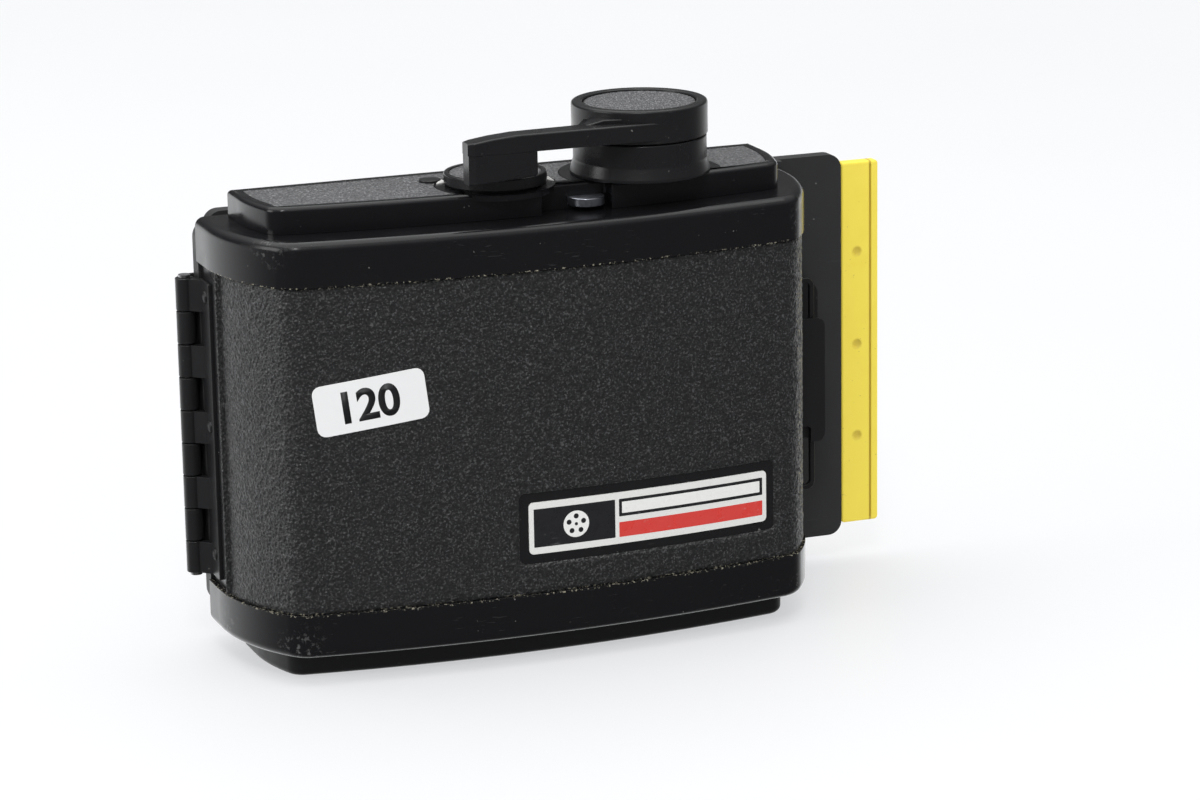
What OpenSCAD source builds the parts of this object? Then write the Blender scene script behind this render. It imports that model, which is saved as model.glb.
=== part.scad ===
// Roll-film holder for a press camera: a hinged case with a lever wind, a film
// carrier inside it, and a camera plate with a film gate and a dark slide.
// Millimetres. The origin is the middle of the foot's underside, +Z is up and
// +Y points towards the camera.

/* [Case] */
// Width of the case at its rear edge
case_w = 146; // [142:1:178]
// Height of the case over both caps
case_h = 98; // [97:1:120]
// Depth of the case from its rear edge to the middle of the bowed front
case_d = 43; // [42:1:54]
// Distance from the origin back to the rear edge of the case
seam_y = 20; // [19:0.5:24]
// Straight length at the rear of each side
side_straight = 8; // [7:0.5:10]
// Radius of the curved part of each side
side_r = 46; // [44:1:60]
// Radius of the bowed front
front_r = 360; // [300:10:500]
// Radius of the two front corners
corner_r = 8; // [6:0.5:10]
// Height of each end cap
cap_h = 10.5; // [9:0.5:12]
// Wall of the end caps
cap_wall = 2.2; // [1.8:0.1:3]
// Rounding of the caps' outer edges
cap_round = 2.2; // [1:0.2:3]
// How far the caps stand proud of the leatherette
cap_proud = 0.4; // [0.2:0.1:0.8]
// Thickness of the leatherette
leather_t = 0.9; // [0.6:0.1:1.2]
// Thickness of the sheet-metal case wall
tub_t = 1.2; // [1:0.1:1.8]
// Height of the foot under the bottom cap
foot_h = 6.6; // [5:0.2:9]

/* [Top cover] */
// Height of the top cover above the top cap
cover_h = 6.3; // [6:0.1:8]
// Inset of the cover and the foot from the sides of the case
cover_side_in = 7.5; // [6:0.5:9]
// Inset of the cover from the front of the case
cover_front_in = 10.3; // [8:0.1:12]
// Inset of the cover and the foot from the rear edge of the case
cover_rear_in = 2; // [1:0.5:4]
// Wall of the cover
cover_wall = 2.2; // [1.8:0.1:2.6]
// Smooth border around the inlays
border = 2.8; // [2:0.1:4]
// Depth of the inlay recesses
inlay_recess = 0.6; // [0.4:0.1:0.8]
// Inset of the foot from the front of the case
foot_front_in = 8.5; // [7:0.5:11]

/* [Winder] */
// Radius of the winding hub
hub_r = 16; // [14:0.5:17]
// Height of the winding hub
hub_h = 7.9; // [7:0.1:10]
// Height of the fixed boss below the hub
boss_h = 8.7; // [7:0.1:11]
// Reach of the lever from the hub axis to the tip of its grip
lever_reach = 49.7; // [46:0.1:56]
// Width of the lever arm, seen from above
arm_w = 5.6; // [4.5:0.1:7]
// Height of the lever arm
arm_h = 4.1; // [3.5:0.1:5]
// Length of the grip block under the end of the arm
grip_l = 18.5; // [16:0.5:20]
// Radius of the winding shaft
shaft_r = 4; // [3.5:0.1:4.5]

/* [Counter] */
// Radius of the counter dial
dial_r = 12; // [10:0.5:12.5]
// Height of the counter dial
dial_h = 4.3; // [3.8:0.1:4.4]
// Radius of the counter dial's shaft
dial_shaft_r = 2; // [1.5:0.1:2.5]

/* [Camera plate] */
// Height of the camera plate
plate_h = 97.4; // [96:0.1:100]
// Thickness of the camera plate
plate_t = 3.9; // [3.7:0.1:5]
// How far the plate reaches past the right side of the case
plate_over = 20.2; // [18:0.1:26]
// How far the plate stops short of the left side of the case
plate_short = 4.5; // [3:0.1:6]
// Thickness of the hinged door frame
door_t = 4.4; // [4:0.1:6]
// Thickness of the gate frame between the door frame and the plate
gate_t = 1.4; // [1.3:0.1:2]
// Width of the film gate
gate_w = 70; // [66:1:72]
// Height of the film gate
gate_h = 56; // [54:1:58]

/* [Dark slide] */
// Thickness of the dark slide
slide_t = 0.8; // [0.5:0.1:1]
// Height of the dark slide
slide_h = 76; // [66:1:78]
// Height of the slide's handle
handle_h = 92.4; // [86:0.1:95]
// Width of the slide's handle
handle_w = 10; // [8:0.5:14]
// Thickness of the slide's handle
handle_t = 3.2; // [2.8:0.1:3.6]

/* [Film] */
// Length of the film spool over its flanges
spool_l = 65.8; // [62:0.1:66]
// Radius of the spool's flanges
spool_r = 12.6; // [11:0.1:12.6]
// Outer radius of the spool's core
core_r = 5.9; // [5.7:0.1:7]
// Radius of the pins that the spool turns on
pin_r = 3.5; // [3:0.1:3.6]
// Distance from the side of the case to the spool axis
spool_side = 19.7; // [19:0.1:22]
// Radius of the two film rollers
roller_r = 4; // [3.5:0.1:4.2]
// Radius of the rollers' shafts
roller_shaft_r = 1.5; // [1.2:0.1:1.8]

/* [Gears] */
// Module of every gear
gear_mod = 0.8; // [0.8]
// Teeth of the winding gear on the lever's axis
wind_teeth = 40; // [40]
// Teeth of the gear on the take-up spool's key
takeup_teeth = 21; // [21]
// Teeth of the gear on the counter's shaft
dial_teeth = 36; // [36]
// Teeth of the idler between the counter and the metering roller
idler_teeth = 26; // [26]
// Teeth cut on the metering roller's shaft
pinion_teeth = 10; // [10]
// Teeth of the ratchet wheel
ratchet_teeth = 10; // [10]
// Radial clearance of every running fit
running = 0.05; // [0.03:0.01:0.08]

/* [Hinge] */
// Number of knuckles of the piano hinge, an odd number
knuckles = 9; // [5:2:11]
// Length of one knuckle
knuckle_l = 7.94; // [6:0.02:8]
// Radius of the hinge's knuckles
knuckle_r = 2.2; // [2:0.1:2.3]
// Radius of the hinge's pin
hinge_pin_r = 0.9; // [0.7:0.1:1]

/* [Hidden] */
$fn = 64;

// Clearances
gap = 0.3;          // between bodies that pass each other
press = 0.01;       // between pieces that are fixed together
seam_gap = 0.3;     // between the case and the closed door
open_rear = 60;     // rear edge of a room that is open towards the door

// Levels of the case
case_bot = foot_h;
case_top = foot_h + case_h;
mid_z = foot_h + case_h / 2;
floor_z = case_bot + cap_wall;
ceiling_z = case_top - cap_wall;
leather_in = cap_proud;
tub_in = leather_in + leather_t;
room_in = tub_in + tub_t;
side_x = case_w / 2;

// Levels and sizes of the top cover
cover_top = case_top + cover_h;
cover_w = case_w - 2 * cover_side_in;
cover_rear = seam_y - cover_rear_in;
cover_d = case_d - cover_front_in - cover_rear_in;
cover_front = cover_rear - cover_d;
cover_corner = 5;
cover_round = 1.2;
foot_d = case_d - foot_front_in - cover_rear_in;
foot_round = 1.6;

// Film path
film_y = seam_y + 2.5;
spool_y = seam_y - 18.2;
takeup = [side_x - spool_side, spool_y];
supply = [-side_x + spool_side, spool_y];
roller_out = 5;
roller_x = gate_w / 2 + roller_out;
roller_y = film_y - 1.7 - roller_r;
spool_gap = 0.5;
flange_t = 1;
carrier_top = mid_z + spool_l / 2 + spool_gap + flange_t;
carrier_bot = 2 * mid_z - carrier_top;
carrier_in = 4;
roller_half = spool_l / 2 - 2;
pin_reach = 3.3;
pin_travel = 3.4;
pin_collar = 1;

// Gear levels, counted from the top of the gear plate
gear_plate_t = 1.5;
gear_plate_z = carrier_top + gap;
gp = gear_plate_z + gear_plate_t;
gear_t = 3;
wind_z = gp + 0.9;
ratchet_z = wind_z + gear_t;
ratchet_t = 2;
pawl_z = ratchet_z + gap;
pawl_t = 1.5;
carrier_disc_z = ratchet_z + ratchet_t + gap;
carrier_disc_t = 1.5;
key_r = 3;
pawl_pin_r = 1.2;
count_z = gp + 6.4;
count_t = 2;
journal_r = shaft_r - 1;
stud_r = 1.5;

// Gear axes; the winding gear clears the bowed front of the case
wind_c = gear_mod * (wind_teeth + takeup_teeth) / 2;
wind_tip = gear_mod * (wind_teeth / 2 + 1);
wind_clear = 0.521;
hub_y = seam_y - case_d + bulge(takeup[0] - wind_c) + room_in + wind_tip + wind_clear;
mesh_angle = asin((takeup[1] - hub_y) / wind_c);
hub = takeup - wind_c * [cos(mesh_angle), sin(mesh_angle)];
dial = [-roller_x + 33.2, hub[1]];
meter = [-roller_x, roller_y];
dial_idler = gear_mod * (dial_teeth + idler_teeth) / 2;
idler_meter = gear_mod * (idler_teeth + pinion_teeth) / 2;
idler = meet(dial, dial_idler, meter, idler_meter, 1);
ratchet_r = 9;
ratchet_root = 6.8;
stop_angle = 150;
stop_reach = 20;
stop_at = hub + stop_reach * [cos(stop_angle), sin(stop_angle)];
drive_angle = -150;
drive_reach = 12.5;
drive_lag = 40;
drive_at = hub + drive_reach * [cos(drive_angle - drive_lag), sin(drive_angle - drive_lag)];

// Winder levels
boss_top = cover_top + boss_h;
boss_r = hub_r - 0.3;
boss_foot_r = boss_r + 1.3;
boss_ring = 2.2;
boss_wall = 1.6;
hub_z = boss_top + gap;
hub_rim = 2.6;
hub_recess = 0.9;
arm_z = hub_z + 1;
arm_y = hub[1] - hub_r;
tip_x = hub[0] - lever_reach;
grip_x = tip_x + grip_l;
grip_z = cover_top + 3.3;
grip_rise = 1.5;

// Counter and release levels
well_depth = 1.5;
well_r = dial_r + 1.6;
well_back = 5;
neck_r = dial_r - 1.4;
disc_z = cover_top + 0.4;
ring_r = dial_r + 2.2;
mark_r = dial_r - 0.9;
mark_angles = [-4, 150];
pointer_at = dial + [-13, 9];
pointer_r = 2.6;
well_z = cover_top - well_depth;
dial_z = well_z + gap;
notch_x0 = dial[0] + 7.8;
notch_x1 = notch_x0 + 17.2;
notch_y = cover_front + 4.6;
tab_w = 8.6;
tab_x = notch_x1 - gap - 0.6 - tab_w / 2;
tab_z = case_top + 1;
tab_t = 2;
tab_travel = 5;

// Door, plate and slide
door_y = seam_y + seam_gap;
gate_y = door_y + door_t;
plate_y = gate_y + gate_t;
face_y = plate_y + plate_t;
plate_x0 = -side_x + plate_short;
plate_x1 = side_x + plate_over;
plate_corner = 3.5;
slide_y = face_y - 1.4 - slide_t;
slide_x0 = -gate_w / 2 - 25;
slot_side = 0.25;
trap_depth = 0.6;
trap_x = plate_x1 - 9;
trap_w = 6;
handle_x0 = plate_x1 + gap;
handle_y = slide_y + slide_t / 2 - handle_t / 2;
handle_grip = 6;
slide_rivet_step = 23.6;
screw_r = 1.2;
plate_screw_x = 62.5;
plate_screw_z = 42.5;
head_r = 2.4;

// Hinge
hinge = [-side_x - knuckle_r - gap, seam_y + 2];
hinge_l = knuckles * knuckle_l;
hinge_z = mid_z - 1 - hinge_l / 2;
leaf_t = 0.9;
tub_x = side_x - tub_in;

// Latch
track_z0 = mid_z - 31.4;
track_z1 = mid_z + 22;
track_y = seam_y - 9.2;
track_t = 1.2;
track_out = 7.5;
latch_z0 = mid_z - 19;
latch_z1 = mid_z + 12;
latch_t = 0.9;
latch_out = 9.8;
latch_travel = 5;
latch_stud_z = [mid_z - 12, mid_z + 2];
latch_stud_r = 0.9;
latch_stud_x = side_x - tub_in + 4.1;
hole_x0 = side_x + 6.5;
hole_w = 4.5;
hole_z0 = mid_z - 7;
hole_z1 = mid_z + 5;
peg_z = hole_z0 + hole_w / 2;
peg_h = 3;
keeper_z0 = mid_z - 18;
keeper_z1 = mid_z + 18;
keeper_out = 12.3;

// Posts that carry the gear plate and the film carrier
post_r = 2.2;
rear_post_in = 14;
front_post_x = supply[0] + 13.3;
posts = [[side_x - rear_post_in, seam_y - 7], [-side_x + rear_post_in, seam_y - 7],
    [front_post_x, cover_front + bulge(front_post_x) + cover_wall + head_r + 0.87],
    [dial[0] + 14.8, cover_rear - cover_wall - head_r - 0.217]];
rests = [[side_x - rear_post_in, seam_y - 7], [-side_x + rear_post_in, seam_y - 7],
    [-gate_w / 2 + 5, spool_y - 12], [gate_w / 2 - 5, spool_y - 12]];

// Where two circles meet; side is 1 or -1
function meet(c1, r1, c2, r2, side) =
    let (d = norm(c2 - c1), a = (d * d + r1 * r1 - r2 * r2) / (2 * d),
        h = sqrt(r1 * r1 - a * a), u = (c2 - c1) / d)
    c1 + a * u + side * h * [-u[1], u[0]];

// How far the bowed front lies back at x
function bulge(x) = front_r - sqrt(front_r * front_r - x * x);

// Points along an arc from angle a0 to a1
function arc(c, r, a0, a1, steps) =
    [for (i = [0:steps]) let (a = a0 + (a1 - a0) * i / steps) c + r * [cos(a), sin(a)]];

// Plan outline with curved sides, rounded front corners and a bowed front.
// inset moves every edge inwards except the rear one, which stays at rear.
function bow(w, d, y0, corner, inset, rear) =
    let (cs = [w / 2 - side_r, y0 - side_straight], cf = [0, y0 - d + front_r],
        cc = meet(cs, side_r - corner, cf, front_r - corner, -1),
        a1 = atan2(cc[1] - cs[1], cc[0] - cs[0]),
        a2 = atan2(cc[1] - cf[1], cc[0] - cf[0]),
        right = concat([[w / 2 - inset, rear]], arc(cs, side_r - inset, 0, a1, 8),
            arc(cc, corner - inset, a1, a2, 8)))
    concat(right, arc(cf, front_r - inset, a2, -180 - a2, 24),
        [for (i = [len(right) - 1:-1:0]) [-right[i][0], right[i][1]]]);

function case_plan(inset, rear = seam_y) =
    bow(case_w, case_d, seam_y, corner_r, inset, rear);
function cover_plan(inset, rear = cover_rear) =
    bow(cover_w, cover_d, cover_rear, cover_corner, inset, rear);
function foot_plan(inset, rear = cover_rear) =
    bow(cover_w, foot_d, cover_rear, cover_corner, inset, rear);

module slab(points, z0, z1) {
    translate([0, 0, z0]) linear_extrude(z1 - z0) polygon(points);
}

module box(x0, x1, y0, y1, z0, z1) {
    translate([x0, y0, z0]) cube([x1 - x0, y1 - y0, z1 - z0]);
}

module rod(at, r, z0, z1) {
    translate([at[0], at[1], z0]) cylinder(r = r, h = z1 - z0);
}

// A plate in the XZ plane with rounded corners
module face_plate(x0, x1, y0, y1, z0, z1, r) {
    translate([0, y1, 0]) rotate([90, 0, 0]) linear_extrude(y1 - y0)
        polygon(concat(arc([x1 - r, z1 - r], r, 0, 90, 8), arc([x0 + r, z1 - r], r, 90, 180, 8),
            arc([x0 + r, z0 + r], r, 180, 270, 8), arc([x1 - r, z0 + r], r, 270, 360, 8)));
}

// A rod along +Y
module y_rod(x, z, r, y0, y1) {
    translate([x, y1, z]) rotate([90, 0, 0]) cylinder(r = r, h = y1 - y0);
}

// Half angle of a gear tooth at radius r, with a little backlash
function roll_angle(base, r) = let (a = acos(base / r)) tan(a) * 180 / PI - a;
function tooth_half(teeth, base, r) =
    88.6 / teeth + roll_angle(base, gear_mod * teeth / 2) - roll_angle(base, max(r, base));

// Outline of an involute gear with a tooth centred on +X
function gear_points(teeth) =
    let (pitch = gear_mod * teeth / 2, base = pitch * cos(20), root = pitch - 1.25 * gear_mod,
        tip = pitch + gear_mod, low = max(root, base),
        rising = [low, (2 * low + tip) / 3, (low + 2 * tip) / 3, tip],
        flank = root < base ? concat([root], rising) : rising, n = len(flank))
    [for (i = [0:teeth - 1], k = [0:2 * n - 1])
        let (r = flank[k < n ? k : 2 * n - 1 - k],
            a = 360 * i / teeth + (k < n ? -1 : 1) * tooth_half(teeth, base, r))
        r * [cos(a), sin(a)]];

// Turn that meshes a gear with one already placed; a is the direction from the first to the second
function meshed(first_turn, first_teeth, teeth, a) =
    a + 180 + 180 / teeth - (first_turn - a) * first_teeth / teeth;
function direction(from, to) = atan2(to[1] - from[1], to[0] - from[0]);

module gear(teeth, at, z0, thick, turn) {
    translate([at[0], at[1], z0]) rotate(turn) linear_extrude(thick) polygon(gear_points(teeth));
}

// A block on a plan outline whose end at z_end has its edge rounded
module rounded(plan, z_open, z_end, r) {
    s = z_end > z_open ? 1 : -1;
    layer = 0.02;
    hull() {
        slab(plan(0), min(z_open, z_end - s * r), max(z_open, z_end - s * r));
        for (a = [18:18:90]) {
            z = z_end - s * r * (1 - sin(a));
            slab(plan(r * (1 - cos(a))), min(z, z - s * layer), max(z, z - s * layer));
        }
    }
}

// A skin between two insets of the case outline
module skin(outer, inner, z0, z1) {
    difference() {
        slab(case_plan(outer), z0, z1);
        slab(case_plan(inner, open_rear), z0 - 1, z1 + 1);
    }
}

// Places its children at each screw of the camera plate
module at_plate_screws() {
    for (x = [-plate_screw_x, 0, plate_screw_x], z = [mid_z - plate_screw_z, mid_z + plate_screw_z])
        translate([x, 0, z]) children();
}

// ---- Case ----

module tub() {
    color("#1c1c1d") skin(tub_in, room_in, floor_z, ceiling_z);
}

module top_cap() {
    color("#161617") difference() {
        rounded(function(i) case_plan(i), case_top - cap_h, case_top, cap_round);
        slab(case_plan(tub_in, open_rear), case_top - cap_h - 1, ceiling_z);
        rod(hub, shaft_r + running, ceiling_z - 1, case_top + 1);
        rod(dial, dial_shaft_r + running, ceiling_z - 1, case_top + 1);
        rod(takeup, stud_r + running, ceiling_z - 1, ceiling_z + cap_wall - 0.8);
        for (p = posts) rod(p, screw_r + running, ceiling_z - 1, case_top + 1);
    }
}

module bottom_cap() {
    color("#161617") difference() {
        rounded(function(i) case_plan(i), case_bot + cap_h, case_bot, cap_round);
        slab(case_plan(tub_in, open_rear), floor_z, case_bot + cap_h + 1);
    }
}

leather_rear = 15;
badge_w = 61.4;
badge_h = 12.5;
badge_x = side_x - 19 - badge_w / 2;
badge_z = case_bot + 20 + badge_h / 2;
badge_frame = 2.7;
badge_t = 0.5;

module leather_wrap() {
    w = badge_w / 2 + badge_frame;
    h = badge_h / 2 + badge_frame;
    color("#29292a") difference() {
        skin(leather_in, tub_in, case_bot + cap_h, case_top - cap_h);
        box(-case_w, case_w, seam_y - leather_rear, open_rear, 0, case_top);
        box(badge_x - w, badge_x + w, -case_d, 0, badge_z - h, badge_z + h);
    }
}

module inlay_plan(slack) {
    edge = border + slack;
    difference() {
        polygon(cover_plan(edge, cover_rear - edge));
        translate(dial) circle(ring_r + slack);
        translate([dial[0] - 1.5 - slack, dial[1]]) square([3 + 2 * slack, case_d]);
        translate(hub) circle(boss_foot_r + boss_ring + slack);
        translate([notch_x0 - edge, cover_front - 1])
            square([notch_x1 - notch_x0 + 2 * edge, notch_y + border + slack - cover_front + 1]);
    }
}

module top_cover() {
    slot_x = tab_x - tab_w / 2 - tab_travel - gap;
    color("#161617") difference() {
        rounded(function(i) cover_plan(i), case_top, cover_top, cover_round);
        difference() {
            slab(cover_plan(cover_wall, cover_rear - cover_wall), case_top - 1, cover_top - cover_wall);
            box(notch_x0 - cover_wall, notch_x1 + cover_wall, -case_d, notch_y + cover_wall, 0, cover_top);
        }
        translate([0, 0, cover_top - inlay_recess]) linear_extrude(inlay_recess + 1) inlay_plan(0);
        rod(dial, neck_r + gap, well_z, cover_top + 1);
        intersection() {
            rod(dial, well_r, well_z, cover_top + 1);
            box(-case_w, case_w, -case_d, dial[1] - well_back, case_top, cover_top + 1);
        }
        rod(dial, dial_shaft_r + gap, case_top, cover_top);
        rod(hub, shaft_r + gap, case_top, cover_top + 1);
        box(notch_x0, notch_x1, -case_d, notch_y, case_top - 1, cover_top + 1);
        box(slot_x, tab_x + tab_w / 2 + gap, notch_y - 1, notch_y + cover_wall + 1,
            tab_z - gap, tab_z + tab_t + gap);
    }
}

module top_inlays() {
    color("#2c2c2d") translate([0, 0, cover_top - inlay_recess]) linear_extrude(inlay_recess - 0.1)
        inlay_plan(0.12);
}

module foot_cover() {
    color("#161617") difference() {
        rounded(function(i) foot_plan(i), case_bot, 0, foot_round);
        slab(foot_plan(cover_wall, cover_rear - cover_wall), cover_wall, case_bot + 1);
    }
}

module winder_boss() {
    hole = shaft_r + running;
    color("#1d1d1e") translate([hub[0], hub[1], 0]) rotate_extrude() polygon([
        [hole, boss_top], [boss_r, boss_top], [boss_r, cover_top + 3.4],
        [boss_foot_r, cover_top], [boss_foot_r - boss_wall, cover_top],
        [boss_r - boss_wall, cover_top + 3.4], [boss_r - boss_wall, boss_top - boss_wall],
        [hole, boss_top - boss_wall]]);
}

module return_spring() {
    color("#8d8f92") difference() {
        rod(hub, 10, cover_top + gap, cover_top + 3.3);
        rod(hub, shaft_r + 1.5, cover_top, cover_top + 4);
    }
}

module name_badge() {
    color("#d9d9d6") intersection() {
        skin(tub_in - badge_t, tub_in, 0, case_top);
        face_plate(badge_x - badge_w / 2, badge_x + badge_w / 2, -case_d, 0,
            badge_z - badge_h / 2, badge_z + badge_h / 2, 0.8);
    }
}

module number_sticker() {
    sticker_x = -44.1 * case_w / 146;
    color("#f2f2f0") intersection() {
        skin(leather_in - 0.15, leather_in, 0, case_top);
        translate([sticker_x, 0, mid_z + 11]) rotate([0, -7, 0])
            face_plate(-14.35, 14.35, -case_d, 0, -6.25, 6.25, 2);
    }
}

// ---- Hinge ----

// Runs a plan shape up each knuckle of one leaf; first is 0 for the case and 1 for the door
module knuckle_runs(first, bore) {
    for (i = [first:2:knuckles - 1]) {
        z0 = hinge_z + i * knuckle_l + gap / 2;
        difference() {
            union() {
                rod(hinge, knuckle_r, z0, z0 + knuckle_l - gap);
                translate([0, 0, z0]) linear_extrude(knuckle_l - gap) children();
            }
            rod(hinge, bore, z0 - 1, z0 + knuckle_l + 1);
        }
    }
}

module case_leaf() {
    outer = -tub_x - leaf_t;
    color("#202021") {
        box(outer, -tub_x, seam_y - 7.8, seam_y - 2.4, hinge_z, hinge_z + hinge_l);
        knuckle_runs(0, hinge_pin_r + press) polygon([
            [-tub_x, seam_y - 7.8], [-tub_x, seam_y - 0.5], hinge + [1.1, -1.7],
            hinge + [0, -1.6], hinge + [-0.7, -2], [outer, seam_y - 2.4], [outer, seam_y - 7.8]]);
    }
}

module hinge_pin() {
    head = 0.6;
    color("#77787a") {
        rod(hinge, hinge_pin_r, hinge_z, hinge_z + hinge_l);
        rod(hinge, hinge_pin_r + 0.5, hinge_z - head, hinge_z);
        rod(hinge, hinge_pin_r + 0.5, hinge_z + hinge_l, hinge_z + hinge_l + head);
    }
}

module leaf_rivets() {
    color("#3a3a3c") for (i = [-1:1])
        translate([-tub_x - leaf_t, seam_y - 5, mid_z + 31 * i]) rotate([0, -90, 0]) rotate_extrude()
            polygon(concat([[0, 0]], arc([0, -1.3], 2, 41, 90, 8)));
}

module door_leaf() {
    color("#202021") {
        box(hinge[0] - 0.7, -side_x + 6.5, gate_y, gate_y + leaf_t, hinge_z, hinge_z + hinge_l);
        knuckle_runs(1, hinge_pin_r + running)
            translate(hinge + [-0.9, 1.2]) square([1.8, gate_y - hinge[1] - 1.1]);
    }
}

// ---- Latch ----

module latch_track() {
    out = tub_x + track_out;
    window_x0 = tub_x + 1.9;
    color("#242425") difference() {
        union() {
            intersection() {
                skin(tub_in - leaf_t, tub_in, track_z0, track_z1);
                box(0, case_w, track_y, seam_y - 4, 0, case_top);
            }
            face_plate(tub_x + 0.4, out, track_y, track_y + track_t, track_z0, track_z1, 2.2);
        }
        skin(tub_in, case_d / 2, 0, case_top);
        face_plate(window_x0, out - 1.2, 0, seam_y - 5, latch_z1 - 0.8, track_z1 - 1.2, 1.2);
        face_plate(window_x0, out - 1.2, 0, seam_y - 5, track_z0 + 1.2, latch_z0 + 0.8, 1.2);
        face_plate(latch_stud_x - latch_stud_r - 0.25, latch_stud_x + latch_stud_r + 0.25, 0, seam_y - 5,
            latch_stud_z[0] - latch_stud_r - gap, latch_stud_z[1] + latch_stud_r + latch_travel + gap, 1.1);
    }
}

module latch_plate() {
    y1 = track_y - gap;
    y0 = y1 - latch_t;
    peg_x = hole_x0 + gap;
    color("#2b2b2c") {
        difference() {
            face_plate(tub_x + 1.3, tub_x + latch_out, y0, y1, latch_z0, latch_z1, 2);
            face_plate(tub_x + 3.6, tub_x + 6, y0 - 1, y1 + 1, latch_z0 - 3, latch_z0 + 4, 1);
        }
        for (z = latch_stud_z) {
            y_rod(latch_stud_x, z, latch_stud_r, y1 - 0.1, track_y + track_t + gap);
            y_rod(latch_stud_x, z, 1.6, track_y + track_t + gap, track_y + track_t + 0.9);
        }
        box(peg_x, tub_x + latch_out, y1 - 0.1, plate_y - 1.5, peg_z, peg_z + peg_h);
    }
}

module keeper_plate() {
    color("#2b2b2c") difference() {
        face_plate(side_x + 0.8, side_x + keeper_out, plate_y - 3.5, plate_y, keeper_z0, keeper_z1, 3);
        face_plate(hole_x0, hole_x0 + hole_w, plate_y - 4, plate_y + 1, hole_z0, hole_z1, hole_w / 2 - 0.01);
    }
}

// ---- Film carrier and gear plate ----

module film_carrier() {
    web_x = roller_x - roller_r - 2;
    color("#2e2f31") difference() {
        union() {
            slab(case_plan(carrier_in, seam_y - 0.8), carrier_top - flange_t, carrier_top);
            slab(case_plan(carrier_in, seam_y - 0.8), carrier_bot, carrier_bot + flange_t);
            box(-web_x, web_x, roller_y - 1.6, roller_y - 0.6, carrier_bot, carrier_top);
            rod(supply, pin_r, carrier_bot, mid_z - spool_l / 2 + pin_reach);
        }
        rod(takeup, key_r + gap, mid_z, carrier_top + 1);
        rod(takeup, pin_r + running, carrier_bot - 1, mid_z);
        rod(supply, pin_r + running, mid_z, carrier_top + 1);
        for (x = [-roller_x, roller_x])
            rod([x, roller_y], roller_shaft_r + running, carrier_bot - 1, carrier_top + 1);
    }
}

module gear_plate() {
    color("#b9a46a") difference() {
        slab(case_plan(room_in + gap, seam_y - 0.8), gear_plate_z, gp);
        rod(hub, journal_r + running, gear_plate_z - 1, gp + 1);
        rod(dial, dial_shaft_r + running, gear_plate_z - 1, gp + 1);
        rod(takeup, key_r + running, gear_plate_z - 1, gp + 1);
        rod(supply, pin_r + running, gear_plate_z - 1, gp + 1);
        rod(meter, roller_shaft_r + running, gear_plate_z - 1, gp + 1);
        for (p = [idler, stop_at]) rod(p, stud_r + press, gear_plate_z - 1, gp + 1);
        for (p = posts) rod(p, screw_r + press, gear_plate_z - 1, gp + 1);
    }
}

module frame_posts() {
    color("#8f9194") {
        for (p = posts) difference() {
            rod(p, post_r, gp, ceiling_z);
            rod(p, screw_r + press, gp - 1, ceiling_z + 1);
        }
        for (p = rests) rod(p, post_r, floor_z, carrier_bot);
    }
}

module mechanism_screws() {
    color("#a5a7aa") for (p = posts) difference() {
        union() {
            rod(p, screw_r, gear_plate_z + 0.2, case_top + 0.1);
            rod(p, head_r, case_top, case_top + 1.4);
        }
        translate([p[0], p[1], case_top + 1.2]) cube([2 * head_r + 1, 0.6, 0.8], center = true);
    }
}

module gear_studs() {
    color("#a5a7aa") {
        rod(idler, stud_r, gear_plate_z, count_z + count_t + 0.4);
        rod(idler, stud_r + 1.5, gp, count_z - 0.2);
        rod(stop_at, stud_r, gear_plate_z, pawl_z + pawl_t + 0.4);
        rod(stop_at, stud_r + 1.1, gp, pawl_z - 0.2);
    }
}

module index_marks() {
    mark_t = 0.25;
    color("#cfd2d6") {
        for (a = mark_angles) translate([dial[0], dial[1], cover_top]) rotate(a)
            linear_extrude(mark_t) polygon([[mark_r, 0], [mark_r + 2.4, -2.6], [mark_r + 2.4, 2.6]]);
        rod(pointer_at, pointer_r, cover_top, cover_top + 0.5);
    }
}

// ---- Springs, drawn as plain sleeves and arched strips ----

module sleeve_spring(at, z0, z1) {
    color("#9a9c9f") difference() {
        rod(at, stud_r + 1.8, z0, z1);
        rod(at, stud_r + 0.8, z0 - 1, z1 + 1);
    }
}

module supply_spring() {
    sleeve_spring(supply, gp + gap + pin_collar, ceiling_z);
}

module takeup_spring() {
    sleeve_spring(takeup, floor_z, carrier_bot - gap - pin_collar);
}

module pressure_springs() {
    rise = film_y - 1.3 - (roller_y - 0.6);
    r = 24;
    a = acos((r - rise + 0.4) / r);
    color("#9a9c9f") for (z = [mid_z - 19, mid_z + 11]) translate([0, 0, z]) linear_extrude(8)
        polygon(concat(arc([0, film_y - 1.3 - r], r, 90 - a, 90 + a, 16),
            arc([0, film_y - 1.3 - r], r - 0.4, 90 + a, 90 - a, 16)));
}

// ---- Door with the camera plate ----

module door_frame() {
    open_x = roller_x + roller_r + 5;
    open_z = carrier_top - mid_z + 2.1;
    relief = gear_mod * (pinion_teeth / 2 + 1) + 0.8;
    color("#1a1a1b") difference() {
        face_plate(-side_x + 0.5, side_x - 0.5, door_y, gate_y, case_bot + 3.4, case_top - 1.5, 4);
        face_plate(-open_x, open_x, door_y - 1, gate_y + 1, mid_z - open_z, mid_z + open_z, 3);
        box(meter[0] - relief, meter[0] + relief, door_y - 1, meter[1] + relief,
            count_z - 0.8, count_z + count_t + 0.8);
        at_plate_screws() y_rod(0, 0, screw_r + press, door_y - 1, gate_y + 1);
    }
}

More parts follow.
